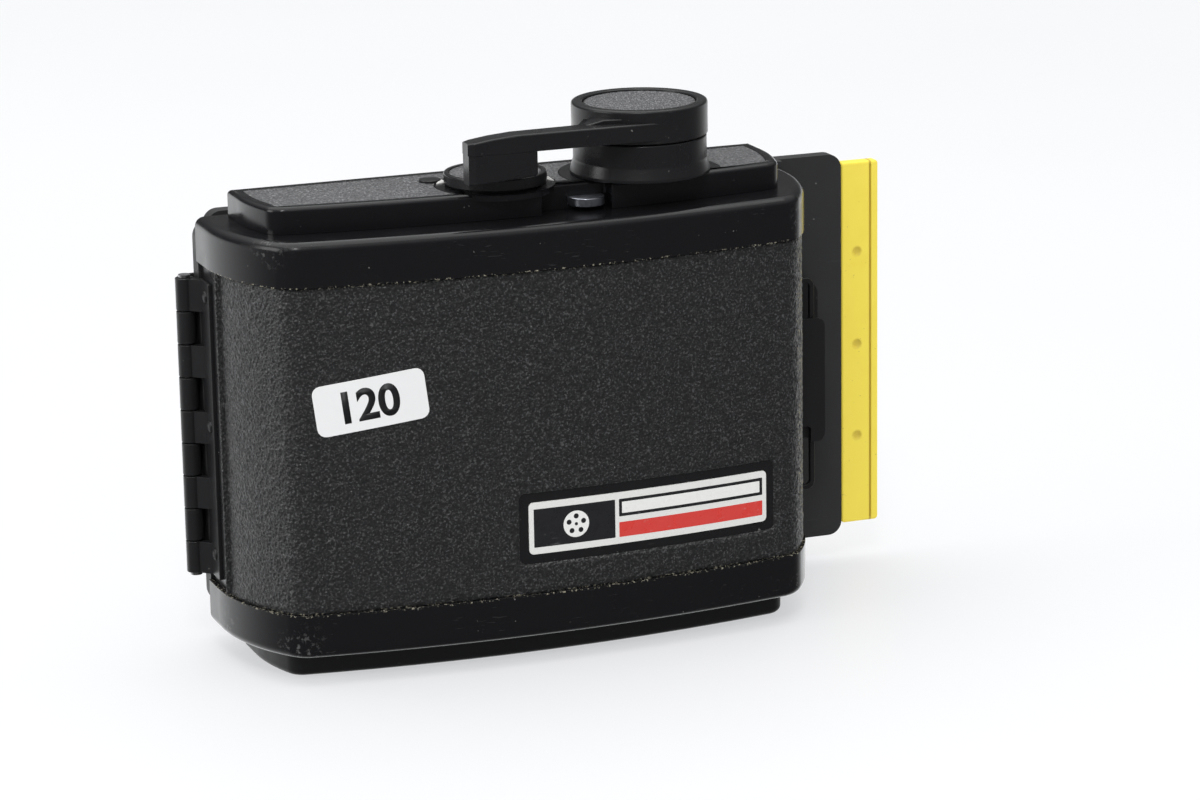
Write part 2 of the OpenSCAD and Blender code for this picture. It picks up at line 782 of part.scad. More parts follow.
module gate_frame() {
    rail_z = gate_h / 2 + 0.5;
    rail_x = gate_w / 2 + 1;
    color("#232324") difference() {
        union() {
            face_plate(-60, 60, gate_y, plate_y, mid_z - 44, mid_z + 44, 3);
            for (z = [mid_z - rail_z - 2.5, mid_z + rail_z])
                box(-rail_x, rail_x, film_y, gate_y + 0.1, z, z + 2.5);
        }
        gate_opening(gate_y - 1, plate_y + 1, 0);
        at_plate_screws() y_rod(0, 0, screw_r + press, gate_y - 1, plate_y + 1);
    }
}

module gate_opening(y0, y1, margin) {
    box(-gate_w / 2 - margin, gate_w / 2 + margin, y0, y1,
        mid_z - gate_h / 2 - margin, mid_z + gate_h / 2 + margin);
}

module camera_plate() {
    slot_half = slide_h / 2 + gap;
    rib_x = side_x + 7;
    plate_top = mid_z + plate_h / 2;
    color("#262627") difference() {
        union() {
            face_plate(plate_x0, plate_x1, plate_y, face_y, mid_z - plate_h / 2, mid_z + plate_h / 2,
                plate_corner);
            for (z = [mid_z - 41, mid_z + 21])
                box(rib_x, rib_x + 2.4, plate_y - 1.2, plate_y + 0.1, z, z + 15);
            box(side_x + 0.4, side_x + 3.4, plate_y - 2.6, plate_y + 0.1, plate_top - 1.4, plate_top);
        }
        gate_opening(plate_y - 1, face_y + 1, 0);
        gate_opening(face_y - 0.5, face_y + 1, 3);
        box(slide_x0 - gap, plate_x1 + 1, slide_y - slot_side, slide_y + slide_t + slot_side,
            mid_z - slot_half, mid_z + slot_half);
        box(trap_x, trap_x + trap_w, slide_y - slot_side - trap_depth,
            slide_y + slide_t + slot_side + trap_depth, mid_z - slot_half, mid_z + slot_half);
        at_plate_screws() countersunk(running);
    }
}

module countersunk(slack) {
    y_rod(0, 0, screw_r + slack, plate_y - 1, face_y - 1);
    translate([0, face_y, 0]) rotate([90, 0, 0])
        cylinder(r1 = head_r + slack, r2 = screw_r + slack, h = 1.2);
}

module plate_screws() {
    color("#6f7174") at_plate_screws() difference() {
        union() {
            countersunk(0);
            y_rod(0, 0, screw_r, door_y + 1, plate_y);
        }
        translate([0, face_y, 0]) cube([2 * head_r + 1, 0.8, 0.5], center = true);
    }
}

module light_trap() {
    half = slide_h / 2;
    near = slide_y - slot_side - trap_depth;
    over = slide_y + slide_t + slot_side + trap_depth;
    color("#101010") {
        box(trap_x, trap_x + trap_w, near, slide_y - 0.12, mid_z - half, mid_z + half);
        box(trap_x, trap_x + trap_w, slide_y + slide_t + 0.12, over, mid_z - half, mid_z + half);
    }
}

// ---- Dark slide ----

module slide_rivet_holes(r, y0, y1) {
    for (i = [-1:1]) y_rod(handle_x0 + 4.2, mid_z + slide_rivet_step * i, r, y0, y1);
}

module slide_sheet() {
    color("#3b3c3e") difference() {
        box(slide_x0, handle_x0 + handle_grip, slide_y, slide_y + slide_t,
            mid_z - slide_h / 2, mid_z + slide_h / 2);
        slide_rivet_holes(0.9 + press, slide_y - 1, slide_y + slide_t + 1);
    }
}

module slide_handle() {
    x1 = handle_x0 + handle_w;
    fold = 2.4;
    color("#f0cf2c") difference() {
        face_plate(handle_x0, x1, handle_y, handle_y + handle_t,
            mid_z - handle_h / 2, mid_z + handle_h / 2, 0.8);
        box(handle_x0 - 1, handle_x0 + handle_grip, slide_y - press, slide_y + slide_t + press,
            mid_z - slide_h / 2 - press, mid_z + slide_h / 2 + press);
        box(x1 - fold, x1 - fold + 0.3, handle_y - 1, handle_y + 0.3, 0, case_top);
        slide_rivet_holes(0.9 + press, handle_y - 1, handle_y + handle_t + 1);
    }
}

module slide_rivets() {
    color("#8a7a1c") slide_rivet_holes(0.9, handle_y + 0.25, handle_y + handle_t - 0.25);
}

// ---- Release tab ----

module release_tab() {
    y_tip = cover_front - 0.4 + tab_w / 2;
    color("#8b8e98") {
        rod([tab_x, y_tip], tab_w / 2, tab_z, tab_z + tab_t);
        box(tab_x - tab_w / 2, tab_x + tab_w / 2, y_tip, notch_y + cover_wall + 4, tab_z, tab_z + tab_t);
    }
}

// ---- Winding lever ----

module wind_lever() {
    color("#1a1a1b") difference() {
        union() {
            rod(hub, hub_r, hub_z, hub_z + hub_h);
            translate([0, 0, arm_z]) linear_extrude(arm_h) polygon([
                [hub[0], arm_y], [tip_x + 0.8, arm_y], [tip_x, arm_y + 1.4],
                [tip_x + 0.7, arm_y + arm_w], [hub[0] - hub_r - 3, arm_y + arm_w + 0.8],
                [hub[0] - hub_r + 0.6, hub[1] - 3.5], hub]);
        }
        rod(hub, hub_r - hub_rim, hub_z + hub_h - hub_recess, hub_z + hub_h + 1);
        rod(hub, shaft_r + press, hub_z - 1, hub_z + 5);
    }
}

module grip_block() {
    x0 = tip_x + 0.8;
    color("#1a1a1b") translate([0, arm_y + arm_w - 0.3, 0]) rotate([90, 0, 0])
        linear_extrude(arm_w - 0.3) polygon([[x0 + 0.5, grip_z], [grip_x, grip_z + grip_rise],
            [grip_x, arm_z], [x0, arm_z]]);
}

module hub_inlay() {
    color("#2c2c2d") rod(hub, hub_r - hub_rim - 0.4, hub_z + hub_h - hub_recess, hub_z + hub_h - 0.3);
}

module lever_shaft() {
    color("#9b9da0") {
        rod(hub, shaft_r, carrier_disc_z, hub_z + 5);
        rod(hub, journal_r, gear_plate_z, carrier_disc_z);
    }
}

module pawl_carrier() {
    color("#8f9194") {
        difference() {
            rod(hub, drive_reach + 2, carrier_disc_z, carrier_disc_z + carrier_disc_t);
            rod(hub, shaft_r + press, carrier_disc_z - 1, carrier_disc_z + carrier_disc_t + 1);
        }
        rod(drive_at, pawl_pin_r, pawl_z, carrier_disc_z + 0.1);
    }
}

// A pawl: an eye with a wedge that ends in a nose
module pawl(at, nose, eye_r, bore_r) {
    u = (nose - at) / norm(nose - at);
    side = 1.8 * [-u[1], u[0]];
    difference() {
        union() {
            rod(at, eye_r, pawl_z, pawl_z + pawl_t);
            slab([nose, at + side, at - side], pawl_z, pawl_z + pawl_t);
        }
        rod(at, bore_r, pawl_z - 1, pawl_z + pawl_t + 1);
    }
}

module drive_pawl() {
    nose_r = 7.7;
    a = drive_angle - 4;
    color("#a5a7aa") pawl(drive_at, hub + nose_r * [cos(a), sin(a)], 2.6, pawl_pin_r + running);
}

module stop_pawl() {
    nose_r = ratchet_r + 0.8;
    color("#a5a7aa") pawl(stop_at, hub + nose_r * [cos(stop_angle), sin(stop_angle)], 3,
        stud_r + running);
}

// ---- Winding train ----

module winding_gear() {
    color("#b9954a") difference() {
        gear(wind_teeth, hub, wind_z, gear_t, 0);
        rod(hub, journal_r + running, wind_z - 1, wind_z + gear_t + 1);
    }
}

module ratchet_wheel() {
    step = 360 / ratchet_teeth;
    points = [for (i = [0:ratchet_teeth - 1], k = [0:4])
        let (a = drive_angle + (i + k / 4) * step, r = ratchet_r - (ratchet_r - ratchet_root) * k / 4)
        hub + r * [cos(a), sin(a)]];
    color("#9b9da0") difference() {
        slab(points, ratchet_z, ratchet_z + ratchet_t);
        rod(hub, journal_r + running, ratchet_z - 1, ratchet_z + ratchet_t + 1);
    }
}

module takeup_gear() {
    color("#b9954a") difference() {
        gear(takeup_teeth, takeup, wind_z, gear_t, meshed(0, wind_teeth, takeup_teeth, mesh_angle));
        rod(takeup, key_r + press, wind_z - 1, wind_z + gear_t + 1);
    }
}

module takeup_key() {
    end = mid_z + spool_l / 2;
    color("#9b9da0") {
        box(takeup[0] - 4.3, takeup[0] + 4.3, takeup[1] - 1.2, takeup[1] + 1.2, end - 4, end + 0.4);
        rod(takeup, key_r, end + 0.2, wind_z + gear_t + 0.3);
        rod(takeup, stud_r, wind_z + gear_t, ceiling_z + cap_wall - 1);
    }
}

module takeup_spool() {
    half = spool_l / 2;
    rim = 1.1;
    slot = 4.6;
    color("#33363a") difference() {
        union() {
            rod(takeup, core_r, mid_z - half, mid_z + half);
            rod(takeup, spool_r, mid_z - half, mid_z - half + rim);
            rod(takeup, spool_r, mid_z + half - rim, mid_z + half);
        }
        rod(takeup, pin_r + running, mid_z - half - 1, mid_z + half + 1);
        for (z = [mid_z - half, mid_z + half - slot])
            box(takeup[0] - 4.7, takeup[0] + 4.7, takeup[1] - 1.45, takeup[1] + 1.45, z, z + slot);
    }
}

// ---- Counter train and rollers ----

count_turn = 0;
idler_turn = meshed(count_turn, dial_teeth, idler_teeth, direction(dial, idler));
pinion_turn = meshed(idler_turn, idler_teeth, pinion_teeth, direction(idler, meter));

module counter_dial() {
    color("#1a1a1b") difference() {
        union() {
            rod(dial, dial_r, disc_z, dial_z + dial_h);
            rod(dial, neck_r, dial_z, disc_z + 0.1);
        }
        rod(dial, dial_r - 1.2, dial_z + dial_h - 0.5, dial_z + dial_h + 1);
        rod(dial, dial_shaft_r + press, dial_z - 1, dial_z + 2.6);
    }
}

module dial_inlay() {
    color("#2c2c2d") rod(dial, dial_r - 1.3, dial_z + dial_h - 0.5, dial_z + dial_h - 0.1);
}

module dial_gear() {
    color("#b9954a") {
        rod(dial, dial_shaft_r, gear_plate_z, dial_z + 2.6);
        gear(dial_teeth, dial, count_z, count_t, count_turn);
    }
}

module idler_gear() {
    color("#b9954a") difference() {
        gear(idler_teeth, idler, count_z, count_t, idler_turn);
        rod(idler, stud_r + running, count_z - 1, count_z + count_t + 1);
    }
}

module metering_roller() {
    color("#222222") difference() {
        rod(meter, roller_r, mid_z - roller_half, mid_z + roller_half);
        rod(meter, roller_shaft_r + press, mid_z - spool_l, mid_z + spool_l);
    }
}

module roller_shaft() {
    color("#9b9da0") {
        rod(meter, roller_shaft_r, carrier_bot, count_z + count_t + 0.3);
        gear(pinion_teeth, meter, count_z, count_t, pinion_turn);
    }
}

module guide_roller() {
    at = [roller_x, roller_y];
    color("#9b9da0") {
        rod(at, roller_r, mid_z - roller_half, mid_z + roller_half);
        rod(at, roller_shaft_r, carrier_bot, carrier_top);
    }
}

// ---- Spool pins and pressure plate ----

module supply_pin() {
    z = gp + gap;
    color("#9b9da0") {
        rod(supply, pin_r, mid_z + spool_l / 2 - pin_reach, z + 0.1);
        rod(supply, pin_r + 1.5, z, z + pin_collar);
        rod(supply, stud_r, z, ceiling_z - pin_travel - gap);
    }
}

module takeup_pin() {
    z = carrier_bot - gap;
    color("#9b9da0") {
        rod(takeup, pin_r, z - 0.1, mid_z - spool_l / 2 + pin_reach);
        rod(takeup, pin_r + 1.5, z - pin_collar, z);
        rod(takeup, stud_r, floor_z + pin_travel + gap, z);
    }
}

module pressure_plate() {
    color("#5a5c5f") face_plate(-gate_w / 2, gate_w / 2, film_y - 1.3, film_y - gap,
        mid_z - gate_h / 2 - 3, mid_z + gate_h / 2 + 3, 2);
}

tub();
top_cap();
bottom_cap();
leather_wrap();
top_cover();
top_inlays();
foot_cover();
winder_boss();
return_spring();
name_badge();
number_sticker();
case_leaf();
hinge_pin();
leaf_rivets();
latch_track();
film_carrier();
gear_plate();
frame_posts();
mechanism_screws();
gear_studs();
index_marks();
supply_spring();
takeup_spring();
pressure_springs();
door_frame();
door_leaf();
gate_frame();
camera_plate();
light_trap();
keeper_plate();
plate_screws();
slide_sheet();
slide_handle();
slide_rivets();
latch_plate();
release_tab();
wind_lever();
grip_block();
hub_inlay();
lever_shaft();
pawl_carrier();
drive_pawl();
winding_gear();
ratchet_wheel();
takeup_gear();
takeup_key();
takeup_spool();
counter_dial();
dial_inlay();
dial_gear();
idler_gear();
metering_roller();
roller_shaft();
guide_roller();
supply_pin();
takeup_pin();
pressure_plate();
stop_pawl();
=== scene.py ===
"""Looks of a lever-wind roll-film holder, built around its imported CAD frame.

Shapes are worked out in millimetres and put into meshes in metres.  A shape is a set of
outlines carried up a wall, a profile turned about an axis, or a height field on a grid.
"""
import math

import bmesh
import bpy
import numpy as np
from mathutils import Matrix, Vector
from mathutils.geometry import tessellate_polygon


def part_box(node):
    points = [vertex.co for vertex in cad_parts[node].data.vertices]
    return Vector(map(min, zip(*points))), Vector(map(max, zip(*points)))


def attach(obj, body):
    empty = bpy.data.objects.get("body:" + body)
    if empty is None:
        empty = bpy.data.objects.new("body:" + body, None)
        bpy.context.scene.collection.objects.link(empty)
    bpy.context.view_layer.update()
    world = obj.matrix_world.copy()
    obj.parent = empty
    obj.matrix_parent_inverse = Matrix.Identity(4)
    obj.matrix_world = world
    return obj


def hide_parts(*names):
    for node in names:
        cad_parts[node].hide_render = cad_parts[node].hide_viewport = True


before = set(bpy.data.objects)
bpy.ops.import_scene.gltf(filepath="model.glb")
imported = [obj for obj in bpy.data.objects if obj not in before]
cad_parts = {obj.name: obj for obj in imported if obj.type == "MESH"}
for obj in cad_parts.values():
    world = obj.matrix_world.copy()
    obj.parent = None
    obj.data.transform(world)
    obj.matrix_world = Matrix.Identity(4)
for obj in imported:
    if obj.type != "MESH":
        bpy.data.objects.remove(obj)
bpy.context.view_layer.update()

MM = 0.001
SIDE_STRAIGHT = 8.0
SIDE_R = 46.0
FRONT_R = 360.0
CORNER_R = 8.0
COVER_CORNER_R = 5.0
# The leatherette's surface and the bed under it and the badge, as insets from the caps
LEATHER_INSET, BED_INSET = 0.4, 1.3
# Steps up the case between the handle's dimples and between the hinge's rivets
DIMPLE_STEP, RIVET_STEP = 23.6, 31.0
# From the handle's inner edge to its dimples, and from its outer edge in to its fold
DIMPLE_X, FOLD_IN = 4.2, 2.4
SHARP_ANGLE = math.radians(38)


def span(node):
    """Lowest and highest corner of a CAD node, in millimetres."""
    low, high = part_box(node)
    return np.array(low) / MM, np.array(high) / MM


CAP_LOW, CAP_HIGH = span("top_cap")
FOOT_CAP_LOW, FOOT_CAP_HIGH = span("bottom_cap")
COVER_LOW, COVER_HIGH = span("top_cover")
FOOT_LOW, FOOT_HIGH = span("foot_cover")
HUB_LOW, HUB_HIGH = span("hub_inlay")
HUB = (HUB_LOW[:2] + HUB_HIGH[:2]) / 2
DIAL_LOW, DIAL_HIGH = span("counter_dial")
DIAL = (DIAL_LOW[:2] + DIAL_HIGH[:2]) / 2
HUB_R = span("wind_lever")[1][0] - HUB[0]
MID_Z = (FOOT_CAP_LOW[2] + CAP_HIGH[2]) / 2

# ---- Outlines ----


def arc(centre, radius, start, end, steps):
    """Points on a circle from the angle start to the angle end, in degrees."""
    t = np.radians(np.linspace(start, end, steps + 1))
    return np.asarray(centre) + radius * np.column_stack([np.cos(t), np.sin(t)])


def meeting(c1, r1, c2, r2):
    """The point where two circles cross, on the right of the line from c1 to c2."""
    c1, c2 = np.asarray(c1, float), np.asarray(c2, float)
    gap = np.linalg.norm(c2 - c1)
    along = (gap * gap + r1 * r1 - r2 * r2) / (2 * gap)
    aside = math.sqrt(r1 * r1 - along * along)
    unit = (c2 - c1) / gap
    return c1 + along * unit + aside * np.array([unit[1], -unit[0]])


def bow(low, high, corner, inset=0.0, rear_inset=0.0):
    """Plan with curved sides and a bowed front, anticlockwise from the left rear.

    Three tangent circles a side: the side's own, the corner's and the front's.  An inset
    makes each radius smaller about the same centre.
    """
    half, front, rear = (high[0] - low[0]) / 2, low[1], high[1]
    side = np.array([half - SIDE_R, rear - SIDE_STRAIGHT])
    face = np.array([0.0, front + FRONT_R])
    turn = meeting(side, SIDE_R - corner, face, FRONT_R - corner)
    a1 = math.degrees(math.atan2(turn[1] - side[1], turn[0] - side[0]))
    a2 = math.degrees(math.atan2(turn[1] - face[1], turn[0] - face[0]))
    right = np.vstack([
        arc(face, FRONT_R - inset, -90, a2, 36)[1:],
        arc(turn, corner - inset, a2, a1, 14)[1:],
        arc(side, SIDE_R - inset, a1, 0, 18)[1:],
        [[half - inset, rear - rear_inset]],
    ])
    left = right[::-1] * [-1, 1]
    return np.vstack([left, [[0.0, front + inset]], right])


def soften(points, radius, steps=5, closed=True):
    """Turns each corner of an outline into an arc that touches both of its edges.

    radius is one number or one for each corner; 0 leaves a corner sharp.
    """
    points = np.asarray(points, float)
    radii = np.broadcast_to(radius, len(points))
    out = []
    for i, point in enumerate(points):
        if radii[i] == 0 or (not closed and i in (0, len(points) - 1)):
            out.append(point[None])
            continue
        back = points[i - 1] - point
        ahead = points[(i + 1) % len(points)] - point
        back, ahead = back / np.linalg.norm(back), ahead / np.linalg.norm(ahead)
        half = math.acos(np.clip(back @ ahead, -1, 1)) / 2
        reach = radii[i] / math.tan(half)
        centre = point + (back + ahead) / np.linalg.norm(back + ahead) * radii[i] / math.sin(half)
        start, end = point + back * reach - centre, point + ahead * reach - centre
        a0, a1 = math.atan2(start[1], start[0]), math.atan2(end[1], end[0])
        sweep = (a1 - a0 + math.pi) % (2 * math.pi) - math.pi
        out.append(arc(centre, radii[i], math.degrees(a0), math.degrees(a0 + sweep), steps))
    return np.vstack(out)


def movable(loop):
    """A function of inset that moves a closed outline inwards along its mitred normals."""
    ahead = np.roll(loop, -1, 0) - loop
    ahead /= np.linalg.norm(ahead, axis=1)[:, None]
    after = np.column_stack([ahead[:, 1], -ahead[:, 0]])
    before = np.roll(after, 1, 0)
    mitre = (before + after) / (1 + (before * after).sum(1))[:, None]
    return lambda inset: loop - inset * mitre


def panel(x0, x1, y0, y1, radius, steps=6):
    """A rectangle with round corners, as a movable outline."""
    corners = [[x0, y0], [x1, y0], [x1, y1], [x0, y1]]
    return movable(soften(corners, radius, steps))


def disc(centre, radius, steps=96):
    """A circle as a movable outline."""
    return lambda inset: arc(centre, radius - inset, 0, 360, steps)[:-1]


def opening(plan):
    """The same outline as the rim of a hole: it turns the other way and an inset widens it."""
    return lambda inset: plan(-inset)[::-1]


def edge(low, high, low_round, high_round, steps=4):
    """Levels (inset, height) of a wall with a rounded lower and a rounded upper edge."""
    a = np.linspace(0, math.pi / 2, steps + 1)
    lower = np.column_stack([low_round * (1 - np.sin(a)), low + low_round * (1 - np.cos(a))])
    upper = np.column_stack([high_round * (1 - np.cos(a)), high - high_round * (1 - np.sin(a))])
    return np.vstack([lower, upper]).tolist()


# ---- Shapes ----

UP = np.eye(3)
FRONT = np.array([[1, 0, 0], [0, 0, -1], [0, 1, 0]], float)
LEFT = np.array([[0, 0, -1], [-1, 0, 0], [0, 1, 0]], float)


class Shape:
    """Points and faces of one piece.  axes turns the drawing plane to UP, FRONT or LEFT."""

    def __init__(self, axes=UP):
        self.axes, self.points, self.faces, self.count = axes, [], [], 0

    def add(self, points):
        """Adds points drawn on the plane's axes and gives their numbers."""
        points = np.asarray(points, float)
        self.points.append(points @ self.axes.T)
        self.count += len(points)
        return np.arange(self.count - len(points), self.count)

    def local(self, ring):
        """Points by number, back on the plane's axes."""
        return (np.vstack(self.points) @ self.axes)[ring]

    def strip(self, lower, upper, closed=True):
        """Quads between two rows of points."""
        if closed:
            lower, upper = np.append(lower, lower[0]), np.append(upper, upper[0])
        quads = np.column_stack([lower[:-1], lower[1:], upper[1:], upper[:-1]])
        self.faces += quads.tolist()

    def wall(self, plan, levels, closed=True):
        """Carries a plan outline through its levels; the outline shrinks by each inset."""
        rows = []
        for inset, height in levels:
            loop = plan(inset)
            rows.append(self.add(np.column_stack([loop, np.full(len(loop), height)])))
        for lower, upper in zip(rows, rows[1:]):
            self.strip(lower, upper, closed)
        return rows

    def fill(self, rings, up=1, flat=(0, 1)):
        """Closes a flat outline, with the rings after the first as its holes."""
        index = np.concatenate(rings)
        plane = self.local(index)[:, flat]
        sizes = np.cumsum([0] + [len(ring) for ring in rings])
        loops = [[Vector((x, y, 0)) for x, y in plane[a:b]] for a, b in zip(sizes, sizes[1:])]
        tris = np.array(tessellate_polygon(loops))
        a, b, c = plane[tris[:, 0]], plane[tris[:, 1]], plane[tris[:, 2]]
        turn = (b - a)[:, 0] * (c - a)[:, 1] - (b - a)[:, 1] * (c - a)[:, 0]
        wrong = turn * up < 0
        tris[wrong] = tris[wrong][:, ::-1]
        self.faces += index[tris].tolist()

    def block(self, plan, levels, pockets=(), holes=()):
        """A solid on an outline, with blind pockets in its upper face and holes through it."""
        rows = self.wall(plan, levels)
        rims = [self.wall(opening(p), lv) for p, lv in holes]
        wells = [self.wall(opening(p), lv) for p, lv in pockets]
        self.fill([rows[0]] + [r[0] for r in rims], up=-1)
        self.fill([rows[-1]] + [r[-1] for r in rims + wells])
        for well in wells:
            self.fill([well[0]])
        return self

    def turned(self, centre, profile, steps=96):
        """Turns a profile of (radius, height) about a vertical axis, outside walls upwards."""
        self.wall(lambda inset: arc(centre, -inset, 0, 360, steps)[:-1],
                  [(-r, z) for r, z in profile])
        return self

    def mesh(self, name):
        """The welded mesh, in metres."""
        data = bpy.data.meshes.new(name)
        data.from_pydata((np.vstack(self.points) * MM).tolist(), [], self.faces)
        work = bmesh.new()
        work.from_mesh(data)
        bmesh.ops.remove_doubles(work, verts=work.verts, dist=1e-7)
        bmesh.ops.dissolve_degenerate(work, edges=work.edges, dist=1e-8)
        work.to_mesh(data)
        work.free()
        return data


def piece(name, shape, finish, body, slot, *nodes, crisp=True):
    """Puts a shape on a body with its finish, in place of the CAD nodes it stands for."""
    mesh = shape.mesh(name) if isinstance(shape, Shape) else shape
    thing = bpy.data.objects.new(name, mesh)
    bpy.context.scene.collection.objects.link(thing)
    mesh.materials.append(finish)
    mesh.shade_smooth()
    if crisp:
        mesh.set_sharp_from_angle(angle=SHARP_ANGLE)
        modifier = thing.modifiers.new("even normals", "WEIGHTED_NORMAL")
        modifier.keep_sharp = True
    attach(thing, body)
    if nodes:
        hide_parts(*nodes)


# ---- Grain ----


def pebbles(u, v, size, seed):
    """Height from 0 in the creases to 1 on the crowns of irregular pebbles.

    One jittered point sits in each square cell.  The height follows the difference between
    the distances to the nearest and the second nearest point of the nine cells around.
    """
    table = np.random.default_rng(seed).random((64, 64, 3))
    u, v = np.broadcast_arrays(u / size, v / size)
    cell_u, cell_v = np.floor(u).astype(int), np.floor(v).astype(int)
    first = np.full(u.shape, 9.0)
    second = first.copy()
    lift = np.zeros(u.shape)
    for du in (-1, 0, 1):
        for dv in (-1, 0, 1):
            spot = table[(cell_u + du) % 64, (cell_v + dv) % 64]
            away = np.hypot(cell_u + du + spot[..., 0] - u, cell_v + dv + spot[..., 1] - v)
            closer = away < first
            second = np.where(closer, first, np.minimum(second, away))
            lift = np.where(closer, spot[..., 2], lift)
            first = np.where(closer, away, first)
    crown = 1 - np.exp(-((second - first) / 0.34) ** 2)
    return crown * (0.62 + 0.38 * lift)


def waves(u, v, length, seed):
    """Slow rise and fall from -1 to 1: a sum of six sine waves in seeded directions."""
    dice = np.random.default_rng(seed)
    total = 0.0
    for angle, phase, stretch in dice.random((6, 3)):
        way = 2 * math.pi * angle
        step = 2 * math.pi / (length * (0.6 + stretch))
        total = total + np.sin((u * math.cos(way) + v * math.sin(way)) * step + 6.28 * phase)
    return total / 6


# ---- Finishes ----


def eased(tree, value, low, high, to_low=0.0, to_high=1.0):
    """Eases low..high of a node's output to to_low..to_high and clips it there."""
    node = tree.nodes.new("ShaderNodeMapRange")
    node.interpolation_type = "SMOOTHSTEP"
    tree.links.new(value, node.inputs["Value"])
    ends = {"From Min": low, "From Max": high, "To Min": to_low, "To Max": to_high}
    for key, number in ends.items():
        node.inputs[key].default_value = number
    return node.outputs["Result"]


class Finish:
    """A procedural material on the piece's own coordinates, in metres."""

    def __init__(self, name, colour, roughness, metallic=0.0, **sockets):
        self.material = bpy.data.materials.new(name)
        self.material.use_nodes = True
        self.nodes = self.material.node_tree.nodes
        self.links = self.material.node_tree.links
        self.shader = self.nodes["Principled BSDF"]
        self.shader.inputs["Base Color"].default_value = (*colour, 1)
        self.shader.inputs["Roughness"].default_value = roughness
        self.shader.inputs["Metallic"].default_value = metallic
        for key, value in sockets.items():
            self.shader.inputs[key.replace("_", " ")].default_value = value
        self.place = self.nodes.new("ShaderNodeTexCoord").outputs["Object"]
        self.colour = None

    def put(self, value, socket):
        """Feeds a socket from another node's output, or sets it to a number or colour."""
        if hasattr(value, "is_linked"):
            self.links.new(value, socket)
        else:
            socket.default_value = value

    def node(self, kind, feed, **inputs):
        """A node fed with a vector, with its named inputs set to numbers."""
        node = self.nodes.new("ShaderNode" + kind)
        self.links.new(feed, node.inputs["Vector"])
        for key, value in inputs.items():
            node.inputs[key].default_value = value
        return node

    def stretched(self, scale, turn=(0, 0, 0)):
        """The piece's coordinates, turned and scaled axis by axis."""
        return self.node("Mapping", self.place, Scale=scale, Rotation=turn).outputs["Vector"]

    def noise(self, size, detail=3.0, rough=0.55, at=None, warp=0.0):
        """Noise with features of that size in millimetres."""
        return self.node("TexNoise", at or self.place, Scale=1 / (size * MM), Detail=detail,
                         Roughness=rough, Distortion=warp).outputs["Fac"]

    def cells(self, size):
        """Distance to the nearest point of cells of that size in millimetres."""
        return self.node("TexVoronoi", self.place, Scale=1 / (size * MM)).outputs["Distance"]

    def ramp(self, value, *ends):
        """Eases a value between four ends: from low, from high, to low, to high."""
        return eased(self.material.node_tree, value, *ends)

    def math(self, kind, a, b=0.0):
        """One sum of two values, each a number or a node's output."""
        node = self.nodes.new("ShaderNodeMath")
        node.operation = kind
        self.put(a, node.inputs[0])
        self.put(b, node.inputs[1])
        return node.outputs["Value"]

    def near(self, spot, full, none):
        """1 within full millimetres of a spot, 0 beyond none."""
        node = self.nodes.new("ShaderNodeVectorMath")
        node.operation = "DISTANCE"
        self.links.new(self.place, node.inputs[0])
        node.inputs[1].default_value = [c * MM for c in spot]
        return self.ramp(node.outputs["Value"], full * MM, none * MM, 1.0, 0.0)

    def band(self, axis, middle, full, none):
        """1 within full millimetres of a level on one axis, 0 beyond none."""
        node = self.nodes.new("ShaderNodeSeparateXYZ")
        self.links.new(self.place, node.inputs[0])
        away = self.math("ABSOLUTE", self.math("SUBTRACT", node.outputs[axis], middle * MM))
        return self.ramp(away, full * MM, none * MM, 1.0, 0.0)

    def tint(self, colour, amount):
        """Lays a colour over what is there, by a mask."""
        node = self.nodes.new("ShaderNodeMix")
        node.data_type = "RGBA"
        base = self.shader.inputs["Base Color"]
        self.put(self.colour or base.default_value[:], node.inputs["A"])
        node.inputs["B"].default_value = (*colour, 1)
        self.put(amount, node.inputs["Factor"])
        self.colour = node.outputs["Result"]
        self.links.new(self.colour, base)

    def rough(self, value):
        """Roughness from a node's output."""
        self.links.new(value, self.shader.inputs["Roughness"])

    def bump(self, height, depth):
        """Relief of that depth in millimetres, on top of any relief given before."""
        node = self.nodes.new("ShaderNodeBump")
        node.inputs["Strength"].default_value = 1.0
        node.inputs["Distance"].default_value = depth * MM
        self.links.new(height, node.inputs["Height"])
        earlier = self.shader.inputs["Normal"]
        if earlier.is_linked:
            self.links.new(earlier.links[0].from_socket, node.inputs["Normal"])
        self.links.new(node.outputs["Normal"], earlier)


def add_dust(finish, amount, size=1.1):
    """Sparse pale specks that settle on a surface."""
    specks = finish.ramp(finish.noise(size, 1.0), 0.77, 0.82, 0.0, amount)
    finish.tint((0.35, 0.34, 0.32), specks)


def add_scratches(finish, amount, scale, turn):
    """Thin pale lines: noise stretched along one axis, where a second noise lets it through."""
    lines = finish.ramp(finish.noise(1.0, 2.0, at=finish.stretched(scale, turn)), 0.66, 0.7)
    where = finish.ramp(finish.noise(14.0, 2.0), 0.5, 0.62, 0.0, amount)
    finish.tint((0.4, 0.4, 0.4), finish.math("MULTIPLY", lines, where))


def enamel(name, colour, low_rough, high_rough, skin=0.012):
    """Stove enamel: faint orange peel, cloudy gloss, dust and hairline scratches."""
    finish = Finish(name, colour, low_rough, Specular_IOR_Level=0.36)
    finish.rough(finish.ramp(finish.noise(9.0, 4.0), 0.3, 0.7, low_rough, high_rough))
    finish.bump(finish.noise(0.9, 2.0), skin)
    add_dust(finish, 0.35)
    add_scratches(finish, 0.035, (0.2, 2.6, 2.6), (0.1, 0.5, 0.2))
    return finish


